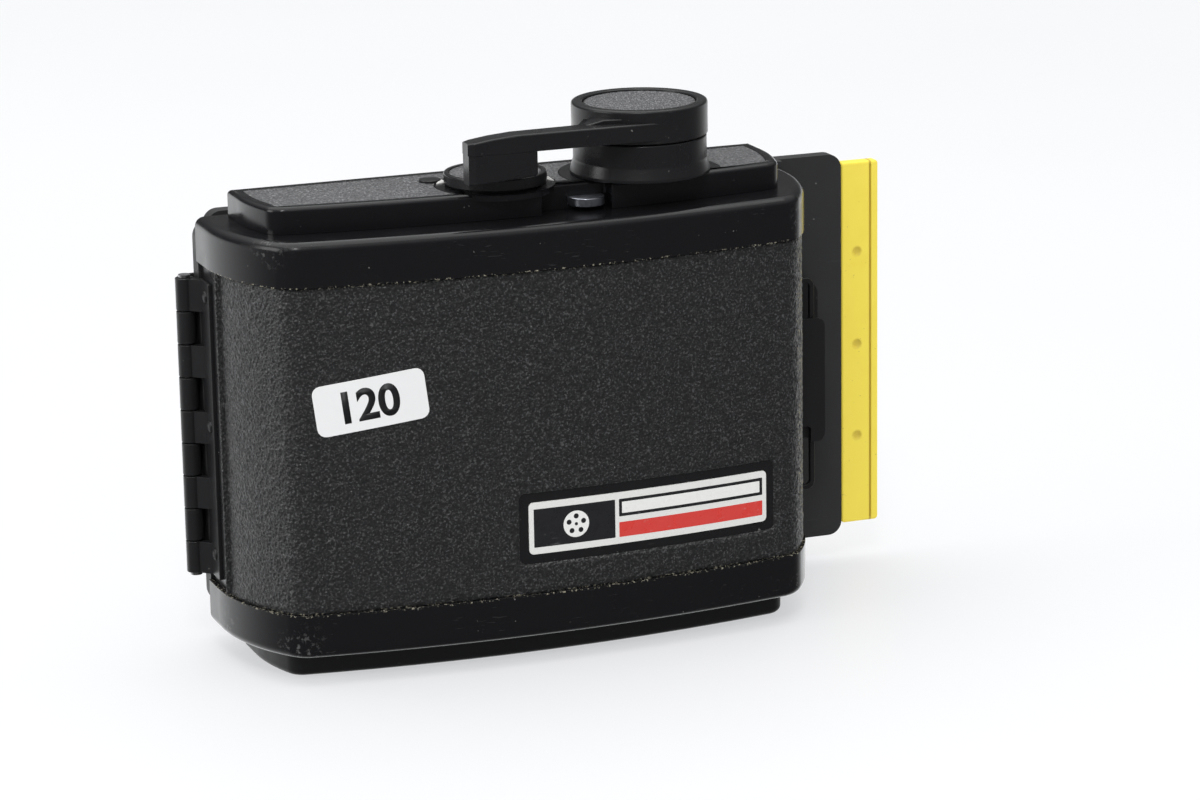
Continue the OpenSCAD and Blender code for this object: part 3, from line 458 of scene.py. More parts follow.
def cap_enamel():
    """Glossy enamel of the caps and covers, rubbed through at the corners that knock."""
    finish = enamel("cap enamel", (0.0075, 0.0075, 0.0085), 0.17, 0.27, 0.008)
    worn = [
        (-66.5, -14, 103.5, 7, 0.9), (66, -14, 99, 8, 0.8), (-62, -17.5, 8, 9, 0.9),
        (65, -14, 8.5, 8, 0.9), (71.6, 4, 98, 9, 0.4), (-72, 6, 9, 8, 0.6),
    ]
    chips = finish.noise(1.5, 5.0, 0.7)
    for x, y, z, reach, strength in worn:
        zone = finish.near((x, y, z), 0.5, reach)
        rubbed = finish.math("MULTIPLY", finish.ramp(chips, 0.54, 0.62, 0.0, strength), zone)
        finish.tint((0.09, 0.09, 0.09), rubbed)
    for z in (CAP_LOW[2], FOOT_CAP_HIGH[2]):
        glue = finish.math("MULTIPLY", finish.band("Z", z, 0.1, 0.5),
                           finish.ramp(finish.noise(0.8, 3.0, 0.7), 0.56, 0.62, 0.0, 0.8))
        finish.tint((0.42, 0.39, 0.3), glue)
    return finish.material


def leatherette(name, shade, seams=(), grain=0.8, relief=0.26):
    """Coated cloth: low sheen, fine wrinkles on the pebbles, painted glints on the grain, and old
    glue along its seams.
    """
    finish = Finish(name, (shade, shade, shade * 1.05), 0.42, Specular_IOR_Level=0.55)
    finish.rough(finish.ramp(finish.noise(0.8, 3.0), 0.3, 0.7, 0.28, 0.46))
    worn = (shade * 1.8, shade * 1.8, shade * 1.85)
    finish.tint(worn, finish.ramp(finish.noise(1.0, 4.0), 0.45, 0.7, 0.0, 0.8))
    # Painted highlight: pale specks on the grain stand in for glints of light off the pebbles.
    painted_glints = finish.ramp(finish.noise(0.5, 2.0), 0.54, 0.68, 0.0, 0.8)
    finish.tint((shade * 5, shade * 5, shade * 5.1), painted_glints)
    finish.bump(finish.noise(0.35, 3.0, 0.6), 0.07)
    finish.bump(finish.cells(grain), relief)
    add_dust(finish, 0.4, 0.8)
    dots = finish.ramp(finish.noise(0.75, 2.0, 0.6), 0.55, 0.62, 0.0, 0.9)
    breaks = finish.ramp(finish.noise(9.0, 2.0), 0.4, 0.56)
    for level in seams:
        line = finish.band("Z", level, 0.15, 0.55)
        drawn = finish.math("MULTIPLY", finish.math("MULTIPLY", line, dots), breaks)
        finish.tint((0.5, 0.47, 0.36), drawn)
    return finish.material


def metal(name, colour, roughness, grain=0.4, along=(1, 1, 0.08)):
    """Turned or drawn metal with fine lines along one direction."""
    finish = Finish(name, colour, roughness, 1.0)
    lines = finish.noise(grain, 3.0, 0.6, at=finish.stretched(along))
    finish.rough(finish.ramp(lines, 0.3, 0.7, roughness - 0.07, roughness + 0.1))
    finish.bump(lines, 0.006)
    stain = finish.ramp(finish.noise(6.0, 4.0), 0.52, 0.75, 0.0, 0.6)
    finish.tint([c * 0.55 for c in colour], stain)
    return finish.material


def plastic(name, colour, shade, roughness, grain=0.3, depth=0.012, **sockets):
    """Moulded plastic: fine grain and a cloudy second shade."""
    finish = Finish(name, colour, roughness, **sockets)
    finish.rough(finish.ramp(finish.noise(3.0, 3.0), 0.3, 0.7, roughness - 0.06, roughness + 0.08))
    finish.tint(shade, finish.ramp(finish.noise(7.0, 4.0), 0.45, 0.75, 0.0, 0.7))
    finish.bump(finish.noise(grain, 2.0), depth)
    return finish


def felt():
    """Black felt: matt, with short fibres in every direction."""
    finish = Finish("felt", (0.006, 0.006, 0.006), 0.95, Sheen_Weight=0.3)
    finish.bump(finish.noise(0.12, 4.0, 0.8, warp=1.0), 0.08)
    finish.tint((0.02, 0.02, 0.02), finish.ramp(finish.noise(0.3, 3.0), 0.5, 0.7))
    return finish.material


def yellow_handle():
    """Warm yellow plastic, with painted shade in the crease and round its dimples, and a few
    specks of dirt.
    """
    finish = plastic("yellow plastic", (1.0, 0.81, 0.085), (0.97, 0.76, 0.07), 0.42, 0.5, 0.01)
    low, high = span("slide_handle")
    # Painted shade: the fold's groove and the rings round the dimple hollows are darkened where
    # shade falls.
    crease_shade = finish.band("X", high[0] - FOLD_IN + 0.15, 0.12, 0.45)
    finish.tint((0.42, 0.27, 0.02), finish.math("MULTIPLY", crease_shade, 0.75))
    for z in (-DIMPLE_STEP, 0.0, DIMPLE_STEP):
        ring = finish.near((low[0] + DIMPLE_X, low[1], MID_Z + z), 0.7, 1.7)
        finish.tint((0.45, 0.3, 0.03), finish.math("MULTIPLY", ring, 0.5))
    finish.tint((0.35, 0.25, 0.06), finish.ramp(finish.noise(0.9, 2.0), 0.72, 0.78, 0.0, 0.5))
    return finish.material


def printed(name, colour, roughness, chipped):
    """A printed panel with fine scratches and small chips down to the pale ground."""
    finish = Finish(name, colour, roughness)
    finish.rough(finish.ramp(finish.noise(2.5, 4.0), 0.3, 0.7, roughness - 0.08, roughness + 0.12))
    chips = finish.ramp(finish.noise(1.1, 4.0, 0.7), 0.7, 0.74, 0.0, chipped)
    finish.tint((0.62, 0.60, 0.57), chips)
    add_scratches(finish, chipped * 0.5, (0.3, 2.2, 2.2), (0.0, 0.5, 0.0))
    finish.bump(finish.noise(0.6, 3.0), 0.01)
    return finish.material


BLACK = (0.011, 0.011, 0.012)
CAP_ENAMEL = cap_enamel()
CASE_ENAMEL = enamel("case enamel", BLACK, 0.22, 0.36).material
LATCH_ENAMEL = enamel("latch enamel", (0.013, 0.013, 0.014), 0.3, 0.42).material
PLATE_ENAMEL = enamel("matt plate enamel", (0.03, 0.03, 0.031), 0.46, 0.6, 0.02).material
LEVER_ENAMEL = enamel("lever enamel", BLACK, 0.24, 0.36, 0.014).material
FOOT_ENAMEL = enamel("foot enamel", (0.010, 0.010, 0.011), 0.4, 0.52, 0.02).material
LEATHER = leatherette("case leatherette", 0.016, [CAP_LOW[2], FOOT_CAP_HIGH[2]])
# The inlay and hub leatherette are the case's leatherette painted several times lighter: painted
# light for the bright reflection their top faces catch.
LIT_INLAY_LEATHER = leatherette("inlay leatherette", 0.065, relief=0.4)
LIT_HUB_LEATHER = leatherette("hub leatherette", 0.075, grain=0.5)
STEEL = metal("turned steel", (0.46, 0.46, 0.47), 0.32)
SPRING = metal("spring steel", (0.36, 0.36, 0.37), 0.4)
BRASS = metal("cut brass", (0.64, 0.48, 0.2), 0.34, 0.5, (1, 1, 1))
TAB_METAL = metal("tab metal", (0.56, 0.58, 0.64), 0.36, 0.5, (1, 1, 1))
CARRIER = plastic("dark grey anodising", (0.045, 0.045, 0.048), (0.03, 0.03, 0.032), 0.5).material
SPOOL = plastic("spool plastic", (0.028, 0.03, 0.034), (0.02, 0.02, 0.022), 0.45).material
RUBBER = plastic("roller rubber", (0.016, 0.016, 0.016), (0.01, 0.01, 0.01), 0.7, 0.2,
                 0.03).material
SLIDE = plastic("dark slide anodising", (0.03, 0.03, 0.032), (0.02, 0.02, 0.02), 0.36,
                Metallic=0.6).material
YELLOW = yellow_handle()
FELT = felt()
LABEL = printed("label stock", (0.8, 0.8, 0.795), 0.45, 0.03)
INK = printed("black ink", (0.012, 0.012, 0.013), 0.4, 0.02)
BADGE_WHITE = printed("badge ground", (0.74, 0.74, 0.71), 0.3, 0.2)
BADGE_BLACK = printed("badge black", (0.016, 0.016, 0.018), 0.3, 0.35)
BADGE_RED = printed("badge red", (0.66, 0.045, 0.035), 0.32, 0.6)
BADGE_GREY = printed("badge light panel", (0.80, 0.80, 0.77), 0.3, 0.2)

# ---- Case ----


def cap(name, low, high, open_low):
    """An end cap: a wall round the bow and a rounded end face, with a hollow for the case."""
    lip, wall, rounding = 1.3, 2.2, 2.2
    height = high[2] - low[2]
    shape = Shape()
    levels = [(lip, height - wall), (lip, 0.0), (0.12, 0.0), (0.0, 0.12)]
    levels += edge(0.0, height, 0.0, rounding, 7)[5:]
    if not open_low:
        levels = [(inset, height - h) for inset, h in levels]
    levels = [(inset, h + low[2]) for inset, h in levels]
    rows = shape.wall(lambda inset: bow(low, high, CORNER_R, inset), levels, closed=False)
    if not open_low:
        shape.faces = [face[::-1] for face in shape.faces]
    side = 1 if open_low else -1
    shape.fill([rows[-1]], up=side)
    shape.fill([rows[0]], up=-side)
    rear = np.array([row[0] for row in rows] + [row[-1] for row in rows[::-1]])
    shape.fill([rear], up=-1, flat=(0, 2))
    piece(name, shape, CAP_ENAMEL, "holder", "cast_black", name)


def front_line(inset):
    """Outline of the case at an inset, and the run of each of its points along it."""
    line = bow(CAP_LOW, CAP_HIGH, CORNER_R, inset)
    step = np.linalg.norm(np.diff(line, axis=0), axis=1)
    return line, np.concatenate([[0], np.cumsum(step)])


def surface_y(x, inset):
    """Where the case's front lies at x, at an inset."""
    line = front_line(inset)[0]
    return np.interp(x, line[:, 0], line[:, 1])


def leather_wrap():
    """The leatherette round the case: pebbles on a grid along the bow and up the case.

    The surface is the bow's outline moved out by the height field.  It falls away at its
    edges and drops under the case wall inside the badge's window, whose distance field is
    that of a round-cornered rectangle.
    """
    low, high = span("leather_wrap")
    badge_low, badge_high = span("name_badge")
    pebble, pitch, depth = 1.25, 0.52, BED_INSET - LEATHER_INSET
    line, run = front_line(LEATHER_INSET)
    keep = line[:, 1] < 6.0
    start, end = run[keep][0], run[keep][-1]
    s = np.linspace(start, end, int((end - start) / pitch))
    path = np.column_stack([np.interp(s, run, line[:, 0]), np.interp(s, run, line[:, 1])])
    path[0, 1] = path[-1, 1] = high[1]
    tangent = np.gradient(path, axis=0)
    tangent /= np.linalg.norm(tangent, axis=1)[:, None]
    normal = np.column_stack([tangent[:, 1], -tangent[:, 0]])
    z = np.linspace(low[2], high[2], int((high[2] - low[2]) / pitch))
    along, up = np.meshgrid(s, z, indexing="ij")
    crease_d, sink, wave_h, wave_l = 0.3, 0.05, 0.05, 23.0
    grain = pebbles(along, up, pebble, 7)
    height = -crease_d * (1 - grain) - sink + wave_h * waves(along, up, wave_l, 3)
    border = np.minimum(np.minimum(up - low[2], high[2] - up),
                        np.minimum(along - s[0], s[-1] - along))
    fall_d, fall_w = 0.22, 0.55
    height -= fall_d * np.exp(-((border / fall_w) ** 2))
    across = np.abs(path[:, :1] - (badge_low[0] + badge_high[0]) / 2)
    tall = np.abs(up - (badge_low[2] + badge_high[2]) / 2)
    frame_w, radius = 2.4, 1.6
    half_w = (badge_high[0] - badge_low[0]) / 2 + frame_w - radius
    half_h = (badge_high[2] - badge_low[2]) / 2 + frame_w - radius
    facing = path[:, 1:] < 0
    outside = np.hypot(np.maximum(across - half_w, 0), np.maximum(tall - half_h, 0)) - radius
    outside = np.where(facing, outside, 9.0)
    drop = np.clip(0.5 - outside / pitch, 0, 1)
    height = np.minimum(height, 0.0) * (1 - drop) - (depth + 0.1) * drop
    height = np.minimum(height, -0.012)
    points = np.empty((len(s), len(z), 3))
    points[..., :2] = path[:, None] + normal[:, None] * height[..., None]
    points[..., 2] = up
    points[0, :, 1] = points[-1, :, 1] = high[1]
    shape = Shape()
    grid = shape.add(points.reshape(-1, 3)).reshape(len(s), len(z))
    quads = np.stack([grid[:-1, :-1], grid[1:, :-1], grid[1:, 1:], grid[:-1, 1:]], -1)
    shape.faces += quads.reshape(-1, 4).tolist()
    back = path - normal * depth
    foot = shape.add(np.column_stack([back, np.full(len(s), low[2])]))
    head = shape.add(np.column_stack([back, np.full(len(s), high[2])]))
    shape.strip(foot, grid[:, 0], closed=False)
    shape.strip(grid[:, -1], head, closed=False)
    shape.strip(head, foot, closed=False)
    shape.faces.append(grid[0].tolist() + [int(head[0]), int(foot[0])])
    shape.faces.append(grid[-1, ::-1].tolist() + [int(foot[-1]), int(head[-1])])
    piece("leather_wrap", shape, LEATHER, "holder", "leatherette", "leather_wrap", crisp=False)


def outline_loops(node, level):
    """Outlines of a CAD node's face at a level, from a welded copy of its mesh."""
    work = bmesh.new()
    work.from_mesh(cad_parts[node].data)
    bmesh.ops.remove_doubles(work, verts=work.verts, dist=1e-6)
    rim = {}
    for line in work.edges:
        a, b = line.verts
        at_level = abs(a.co.z / MM - level) < 0.01 and abs(b.co.z / MM - level) < 0.01
        if at_level and sum(abs(f.normal.z) > 0.9 for f in line.link_faces) == 1:
            rim.setdefault(a.index, []).append(b.index)
            rim.setdefault(b.index, []).append(a.index)
    places = {v.index: np.array(v.co[:2]) / MM for v in work.verts}
    work.free()
    loops = []
    while rim:
        first = next(iter(rim))
        chain, at = [first], rim[first][0]
        while at != first:
            chain.append(at)
            ways = rim[at]
            at = ways[0] if ways[0] != chain[-2] else ways[1]
        for index in chain:
            rim.pop(index)
        loop = np.array([places[i] for i in chain])
        x, y = loop[:, 0], loop[:, 1]
        turn = (x * np.roll(y, -1) - np.roll(x, -1) * y).sum()
        loops.append(loop if turn > 0 else loop[::-1])
    return loops


def top_cover():
    """The raised cover on the top cap, with its notch, its dial well and inlay recesses."""
    rounding, recess, slack = 1.2, 0.6, 0.12
    notch_start, notch_end, notch_d, notch_r, join = 7.8, 25.0, 4.6, 0.7, 0.8
    low, high = COVER_LOW, COVER_HIGH
    notch_x0, notch_x1, notch_y = DIAL[0] + notch_start, DIAL[0] + notch_end, low[1] + notch_d
    bowed = bow(low, high, COVER_CORNER_R)
    left = bowed[bowed[:, 0] < notch_x0 - join]
    right = bowed[bowed[:, 0] > notch_x1 + join]
    y_left = np.interp(notch_x0, bowed[:, 0], bowed[:, 1])
    y_right = np.interp(notch_x1, bowed[:, 0], bowed[:, 1])
    notch = soften([left[-1], [notch_x0, y_left], [notch_x0, notch_y], [notch_x1, notch_y],
                    [notch_x1, y_right], right[0]], [0] + [notch_r] * 4 + [0], 5, closed=False)
    plan = movable(np.vstack([left, notch[1:-1], right]))
    levels = edge(low[2], high[2], 0.1, rounding, 6)
    front_r, neck_r, chord = 13.6, 10.9, -5.0
    a = math.degrees(math.asin(chord / front_r))
    b = math.degrees(math.asin(chord / neck_r))
    well = np.vstack([arc(DIAL, front_r, -180 - a, a, 48), arc(DIAL, neck_r, b, 180 - b, 64)])
    floor = DIAL_LOW[2] - 0.3
    pockets = [(movable(well), [(0.0, floor)] + edge(floor, high[2], 0, 0.3, 3)[4:])]
    for loop in outline_loops("top_inlays", span("top_inlays")[1][2]):
        grown = movable(loop)
        pockets.append((lambda inset, g=grown: g(inset - slack),
                        [(0.0, high[2] - recess)] + edge(0, high[2], 0, 0.15, 2)[3:]))
    shape = Shape().block(plan, levels, pockets)
    piece("top_cover", shape, CAP_ENAMEL, "holder", "cast_black", "top_cover")


def foot_cover():
    """The foot under the bottom cap, with a rounded lower edge."""
    shape = Shape().block(lambda inset: bow(FOOT_LOW, FOOT_HIGH, COVER_CORNER_R, inset, inset),
                          edge(FOOT_LOW[2], FOOT_HIGH[2], 1.6, 0.05, 6))
    piece("foot_cover", shape, FOOT_ENAMEL, "holder", "cast_black", "foot_cover")


def winder_boss():
    """The fixed boss under the hub: a drum that flares at its foot."""
    low, high = span("winder_boss")
    full_r, z0, z1 = (high[0] - low[0]) / 2, low[2], high[2]
    margin, flare, lip_h, flare_h = 1.3, 0.8, 0.7, 3.4
    body_r = full_r - margin
    foot_r = body_r + flare
    profile = soften([[0, z0], [foot_r, z0], [foot_r, z0 + lip_h], [body_r, z0 + flare_h],
                      [body_r, z1], [0, z1]], [0, 0.2, 0.4, 2.2, 0.4, 0], 6, closed=False)
    shape = Shape().turned(HUB, profile, 128)
    piece("winder_boss", shape, LEVER_ENAMEL, "holder", "cast_black", "winder_boss")


# ---- Lever ----


def bar(shape, stations, low_round, high_round, steps=5):
    """Round-cornered rectangles (x, y0, y1, z0, z1) carried along X, with flat ends."""
    rows = []
    radii = [low_round, low_round, high_round, high_round]
    for x, y0, y1, z0, z1 in stations:
        ring = soften([[y0, z0], [y1, z0], [y1, z1], [y0, z1]], radii, steps)
        rows.append(shape.add(np.column_stack([np.full(len(ring), x), ring])))
    for lower, upper in zip(rows, rows[1:]):
        shape.strip(lower, upper)
    shape.faces += [rows[0][::-1].tolist(), rows[-1].tolist()]


def wind_lever():
    """The hub, turned, and its arm: round-cornered sections carried along X.

    The arm's top runs level from the hub to a kink over the grip and then drops a little to
    the tip, whose front is bevelled; its rear face swings out into a web that meets the hub.
    """
    low, high = span("wind_lever")
    z0, z1 = low[2], high[2]
    rim, recess = 2.6, 0.9
    profile = soften([[0, z0], [HUB_R, z0], [HUB_R, z1], [HUB_R - rim, z1],
                      [HUB_R - rim, z1 - recess], [0, z1 - recess]],
                     [0, 0.35, 0.7, 0.45, 0.1, 0], 6, closed=False)
    shape = Shape().turned(HUB, profile, 128)
    bottom = span("grip_block")[1][2]
    arm_h, tip_in, web_h = 4.1, 2.1, 1.0
    top, front, tip, hub_left = bottom + arm_h, low[1], low[0] + tip_in, HUB[0] - HUB_R
    bar(shape, [
        (tip, front + 1.25, front + 5.0, bottom, top - 1.3),
        (tip + 1.2, front + 0.05, front + 5.5, bottom, top - 1.1),
        (tip + 1.5, front + 0.0, front + 5.6, bottom, top - 1.05),
        (tip + 6.0, front + 0.0, front + 5.7, bottom, top - 0.45),
        (tip + 11.6, front + 0.0, front + 5.7, bottom, top),
        (hub_left - 3, front, front + 6.4, bottom, top),
        (hub_left + 0.6, front, HUB[1] - 3.5, bottom, top),
        (HUB[0], front + 0.02, HUB[1], bottom, top),
    ], 0.03, 0.5)
    web = top + web_h
    bar(shape, [
        (hub_left - 1.5, front + 4.4, front + 6.2, top - 1, top + 0.02),
        (hub_left + 2.5, front + 3.6, HUB[1] - 4, top - 1, web),
        (HUB[0] - 3, front + 2.0, HUB[1], top - 1, web),
    ], 0.02, 0.35)
    piece("wind_lever", shape, LEVER_ENAMEL, "lever", "lever_black", "wind_lever")


def grip_block():
    """The finger grip under the arm's end: its underside slants down to its bevelled end."""
    low, high = span("grip_block")
    front, back, top = low[1], high[1], high[2] - 0.07
    left, right = low[0] - 0.1, high[0] + 0.1
    shape = Shape()
    bar(shape, [
        (left + 1.6, front + 1.3, back, low[2] - 0.25, top),
        (left + 2.8, front + 0.06, back, low[2] - 0.15, top),
        (left + 3.1, front + 0.0, back, low[2] - 0.12, top),
        (right - 0.5, front + 0.0, back, low[2] + 0.9, top),
        (right, front + 0.3, back - 0.3, low[2] + 1.2, top),
    ], 0.5, 0.03)
    piece("grip_block", shape, LEVER_ENAMEL, "lever", "lever_black", "grip_block")


def round_inlay(name, body, size, seed, rise):
    """A round leatherette inlay: rings whose heights follow the grain, with a rolled rim."""
    low, high = span(name)
    centre, radius = (low[:2] + high[:2]) / 2, (high[0] - low[0]) / 2
    steps, rings, fall_d, fall_w = 180, 40, 0.12, 0.3
    shape = Shape()
    foot = arc(centre, radius, 0, 360, steps)[:-1]
    rows = [shape.add(np.column_stack([foot, np.full(steps, low[2])]))]
    for ring in np.linspace(radius, 0.0, rings):
        x, y = arc(centre, ring, 0, 360, steps)[:-1].T
        fall = fall_d * math.exp(-(((radius - ring) / fall_w) ** 2))
        z = high[2] - rise * (1 - pebbles(x + 50, y + 50, size, seed)) - fall
        rows.append(shape.add(np.column_stack([x, y, z])))
    for lower, upper in zip(rows, rows[1:]):
        shape.strip(lower, upper)
    shape.faces.append(rows[0][::-1].tolist())
    piece(name, shape, LIT_HUB_LEATHER, body, "leatherette", name, crisp=False)


def counter_dial():
    """The counter's dial: an overhanging disc on a neck, with a dished top."""
    z0, z1 = DIAL_LOW[2], DIAL_HIGH[2]
    radius = (DIAL_HIGH[0] - DIAL_LOW[0]) / 2
    overhang, gap, rim, dish = 1.4, 0.4, 1.2, 0.5
    neck_r, dish_r, disc_z = radius - overhang, radius - rim, COVER_HIGH[2] + gap
    profile = soften([[0, z0], [neck_r, z0], [neck_r, disc_z], [radius, disc_z],
                      [radius, z1], [dish_r, z1], [dish_r, z1 - dish], [0, z1 - dish]],
                     [0, 0.1, 0.1, 0.3, 0.45, 0.3, 0.05, 0], 6, closed=False)
    shape = Shape().turned(DIAL, profile, 128)
    piece("counter_dial", shape, LEVER_ENAMEL, "counter", "lever_black", "counter_dial")


def release_tab():
    """The release tab: a tongue with a half-round end and rounded edges."""
    low, high = span("release_tab")
    half = (high[0] - low[0]) / 2
    centre = [(low[0] + high[0]) / 2, low[1] + half]
    outline = np.vstack([arc(centre, half, 180, 360, 32), [[high[0], high[1]], [low[0], high[1]]]])
    shape = Shape().block(movable(outline), edge(low[2], high[2], 0.2, 0.22, 4))
    piece("release_tab", shape, TAB_METAL, "release", "tab_metal", "release_tab")


# ---- Badge and sticker ----


def wrapped(shape, inset):
    """Lays a shape drawn on the FRONT axes onto the case's bow at an inset."""
    for points in shape.points:
        points[:, 1] += surface_y(points[:, 0], inset)
    return shape


def layer(name, plans, bottom, top, inset, finish, slot, rings=(), nodes=()):
    """Thin flat outlines with a soft edge, laid on the bow at an inset.

    rings are further insets of the upper face, which let it bend with the bow.
    """
    levels = edge(bottom, top, 0.0, min(0.08, (top - bottom) / 2), 3)
    levels += [(ring, top) for ring in rings]
    shape = Shape(FRONT)
    for plan in plans:
        shape.block(plan, levels)
    piece(name, wrapped(shape, inset), finish, "holder", slot, *nodes)


def rings_for(width, height):
    """Insets that step from an outline's edge to its middle line."""
    half = min(width, height) / 2
    return np.arange(2.0, half - 0.5, 2.0).tolist() + [half - 0.002]


def strips(x0, x1, y0, y1, radius):
    """A long panel as a movable outline, with extra points on its edges so that it can bend.

    The corner arcs shrink with the inset and never turn inside out.
    """
    counts = [max(1, int((x1 - x0) / 3)), max(1, int((y1 - y0) / 3))] * 2

    def plan(inset):
        corners = [[x0 + inset, y0 + inset], [x1 - inset, y0 + inset],
                   [x1 - inset, y1 - inset], [x0 + inset, y1 - inset]]
        arcs = soften(corners, max(radius - inset, 0.02), 4).reshape(4, -1, 2)
        out = []
        for now, after, count in zip(arcs, np.roll(arcs, -1, 0), counts):
            between = np.linspace(0, 1, count + 1)[1:-1, None]
            out += [now, now[-1] + (after[0] - now[-1]) * between]
        return np.vstack(out)

    return plan


def name_badge():
    """A plain badge: pale ground, dark block with a film reel, light panel, red band."""
    low, high = span("name_badge")
    x0, z0 = low[0], low[2]
    width, height = high[0] - low[0], high[2] - low[2]
    bed = 2.3
    around = strips(x0 - bed, high[0] + bed, z0 - bed, high[2] + bed, 1.4)
    layer("badge_bed", [around], 0.0, 0.12, BED_INSET, CASE_ENAMEL, "cast_black",
          rings_for(width + 2 * bed, height + 2 * bed))
    layer("name_badge", [strips(x0, high[0], z0, high[2], 1.1)], 0.0, 0.44, BED_INSET, BADGE_WHITE,
          "badge_metal", rings_for(width, height), ["name_badge"])
    # Left, right, foot and head are shares of the badge's width and height
    parts = [
        ("badge_block", 0.019, 0.35, 0.13, 0.87, 0.0, BADGE_BLACK, 0.46),
        ("badge_panel_rim", 0.366, 0.982, 0.53, 0.87, 0.0, BADGE_BLACK, 0.46),
        ("badge_panel", 0.366, 0.982, 0.53, 0.87, 0.75, BADGE_GREY, 0.48),
        ("badge_band", 0.366, 0.982, 0.13, 0.42, 0.0, BADGE_RED, 0.46),
    ]
    for name, left, right, foot, head, inset, finish, lift in parts:
        a, b = x0 + width * left + inset, x0 + width * right - inset
        c, d = z0 + height * foot + inset, z0 + height * head - inset
        layer(name, [strips(a, b, c, d, 0.15)], 0.4, lift, BED_INSET, finish, "badge_metal",
              rings_for(b - a, d - c))
    reel = np.array([x0 + width * 0.19, z0 + height / 2])
    layer("badge_reel", [disc(reel, 3.2, 48)], 0.42, 0.48, BED_INSET, BADGE_GREY, "badge_metal")
    turns = np.arange(5) * 2 * math.pi / 5
    holes = [disc(reel + 1.9 * np.array([math.sin(a), math.cos(a)]), 0.62, 20) for a in turns]
    layer("badge_reel_holes", holes + [disc(reel, 0.4, 16)], 0.44, 0.5, BED_INSET, BADGE_BLACK,
          "badge_metal")


def number_sticker():
    """A white paper label with a bold film number on it, laid on a slant."""
    low, high = span("number_sticker")
    centre = np.array([(low[0] + high[0]) / 2, (low[2] + high[2]) / 2])
    slant = math.radians(7)
    turn = np.array([[math.cos(slant), math.sin(slant)], [-math.sin(slant), math.cos(slant)]])
    wide, tall = 26.0, 12.0
    flat = strips(-wide / 2, wide / 2, -tall / 2, tall / 2, 2.0)
    layer("number_sticker", [lambda inset: flat(inset) @ turn + centre], -0.1, 0.13, LEATHER_INSET,
          LABEL, "paper_label", rings_for(wide, tall), ["number_sticker"])
    text = bpy.data.curves.new("film number", "FONT")
    text.body = "120"
    text.size = 10.2
    text.offset = 0.3
    text.extrude = 0.01
    text.align_x, text.align_y = "CENTER", "CENTER"
    text.resolution_u = 8
    carrier = bpy.data.objects.new("film number", text)
    bpy.context.scene.collection.objects.link(carrier)
    bpy.context.view_layer.update()
    drawn = carrier.evaluated_get(bpy.context.evaluated_depsgraph_get())
    letters = bpy.data.meshes.new_from_object(drawn)
    bpy.data.objects.remove(carrier)
    work = bmesh.new()
    work.from_mesh(letters)
    bmesh.ops.remove_doubles(work, verts=work.verts, dist=1e-4)
    work.to_mesh(letters)
    work.free()
    points = np.array([v.co[:] for v in letters.vertices])
    flat_points = points[:, :2] - (points[:, :2].min(0) + points[:, :2].max(0)) / 2
    flat_points = flat_points * [0.98, 1.0] @ turn + centre
    face = surface_y(flat_points[:, 0], LEATHER_INSET) - 0.142
    digits = np.column_stack([flat_points[:, 0], face - points[:, 2], flat_points[:, 1]])
    letters.vertices.foreach_set("co", (digits * MM).ravel())
    letters.update()
    piece("film_number", letters, INK, "holder", "paper_label", crisp=False)


# ---- Door, plate, slide ----


def slide_handle():
    """The dark slide's yellow handle, with rounded edges, a fold and three dimples."""
    low, high = span("slide_handle")
    plan = panel(low[0], high[0], low[2], high[2], 0.9)
    fold, groove_w, stop = high[0] - FOLD_IN, 0.45, 0.9
    groove = panel(fold, fold + groove_w, low[2] + stop, high[2] - stop, 0.2, 3)
    top = -low[1]
    pockets = [(groove, [(0.1, top - 0.4), (0.0, top - 0.3), (0.0, top - 0.1), (0.1, top)])]
    hollow = [(-0.75, top - 0.42), (-0.35, top - 0.3), (0.0, top - 0.1), (0.12, top)]
    for step in (-DIMPLE_STEP, 0.0, DIMPLE_STEP):
        pockets.append((disc([low[0] + DIMPLE_X, MID_Z + step], 1.05, 32), hollow))
    shape = Shape(FRONT).block(plan, edge(-high[1], top, 0.5, 0.6, 5), pockets)
    piece("slide_handle", shape, YELLOW, "dark_slide", "yellow_plastic",
          "slide_handle", "slide_rivets")


def hinge_leaf(name, first, root, plate, levels, axes):
    """One leaf of the piano hinge: its plate, and every other knuckle with its root."""
    pin_low, pin_high = span("hinge_pin")
    axis = (pin_low[:2] + pin_high[:2]) / 2
    count, gap, radius = 9, 0.14, 2.2
    foot, head = (corner[2] for corner in span("case_leaf"))
    pitch = (head - foot) / count
    shape = Shape(axes).block(plate, levels)
    shape.axes = UP
    for i in range(first, count, 2):
        z0 = foot + i * pitch + gap
        z1 = z0 + pitch - 2 * gap
        shape.block(disc(axis, radius, 40), edge(z0, z1, 0.18, 0.18, 3))
        shape.block(movable(axis + root), edge(z0, z1, 0.1, 0.1, 2))
    piece(name, shape, LATCH_ENAMEL, "front_plate" if first else "holder", "hinge_black", name)


def hinge_leaves():
    """The leaf on the case lies along its side; the leaf on the door lies on its face."""
    rear, door_t = 19.3, 0.9
    low, high = span("case_leaf")
    rivets_low, rivets_high = span("leaf_rivets")
    root = [[0.2, -2.0], [2.9, -4.6], [3.75, -4.4], [3.6, -2.6], [1.6, -0.6]]
    hinge_leaf("case_leaf", 0, np.array(root),
               panel(-rear, 1.4 - rivets_low[1], low[2], high[2], 0.5),
               edge(-high[0], -rivets_high[0], 0.05, 0.25, 3), LEFT)
    low, high = span("door_leaf")
    root = [[-0.9, 1.4], [0.9, 1.4], [0.9, 2.9], [-0.9, 2.9]]
    hinge_leaf("door_leaf", 1, np.array(root),
               panel(low[0] + 1.5, high[0], low[2], high[2], 0.5),
               edge(-high[1], -high[1] + door_t, 0.2, 0.2, 3), FRONT)


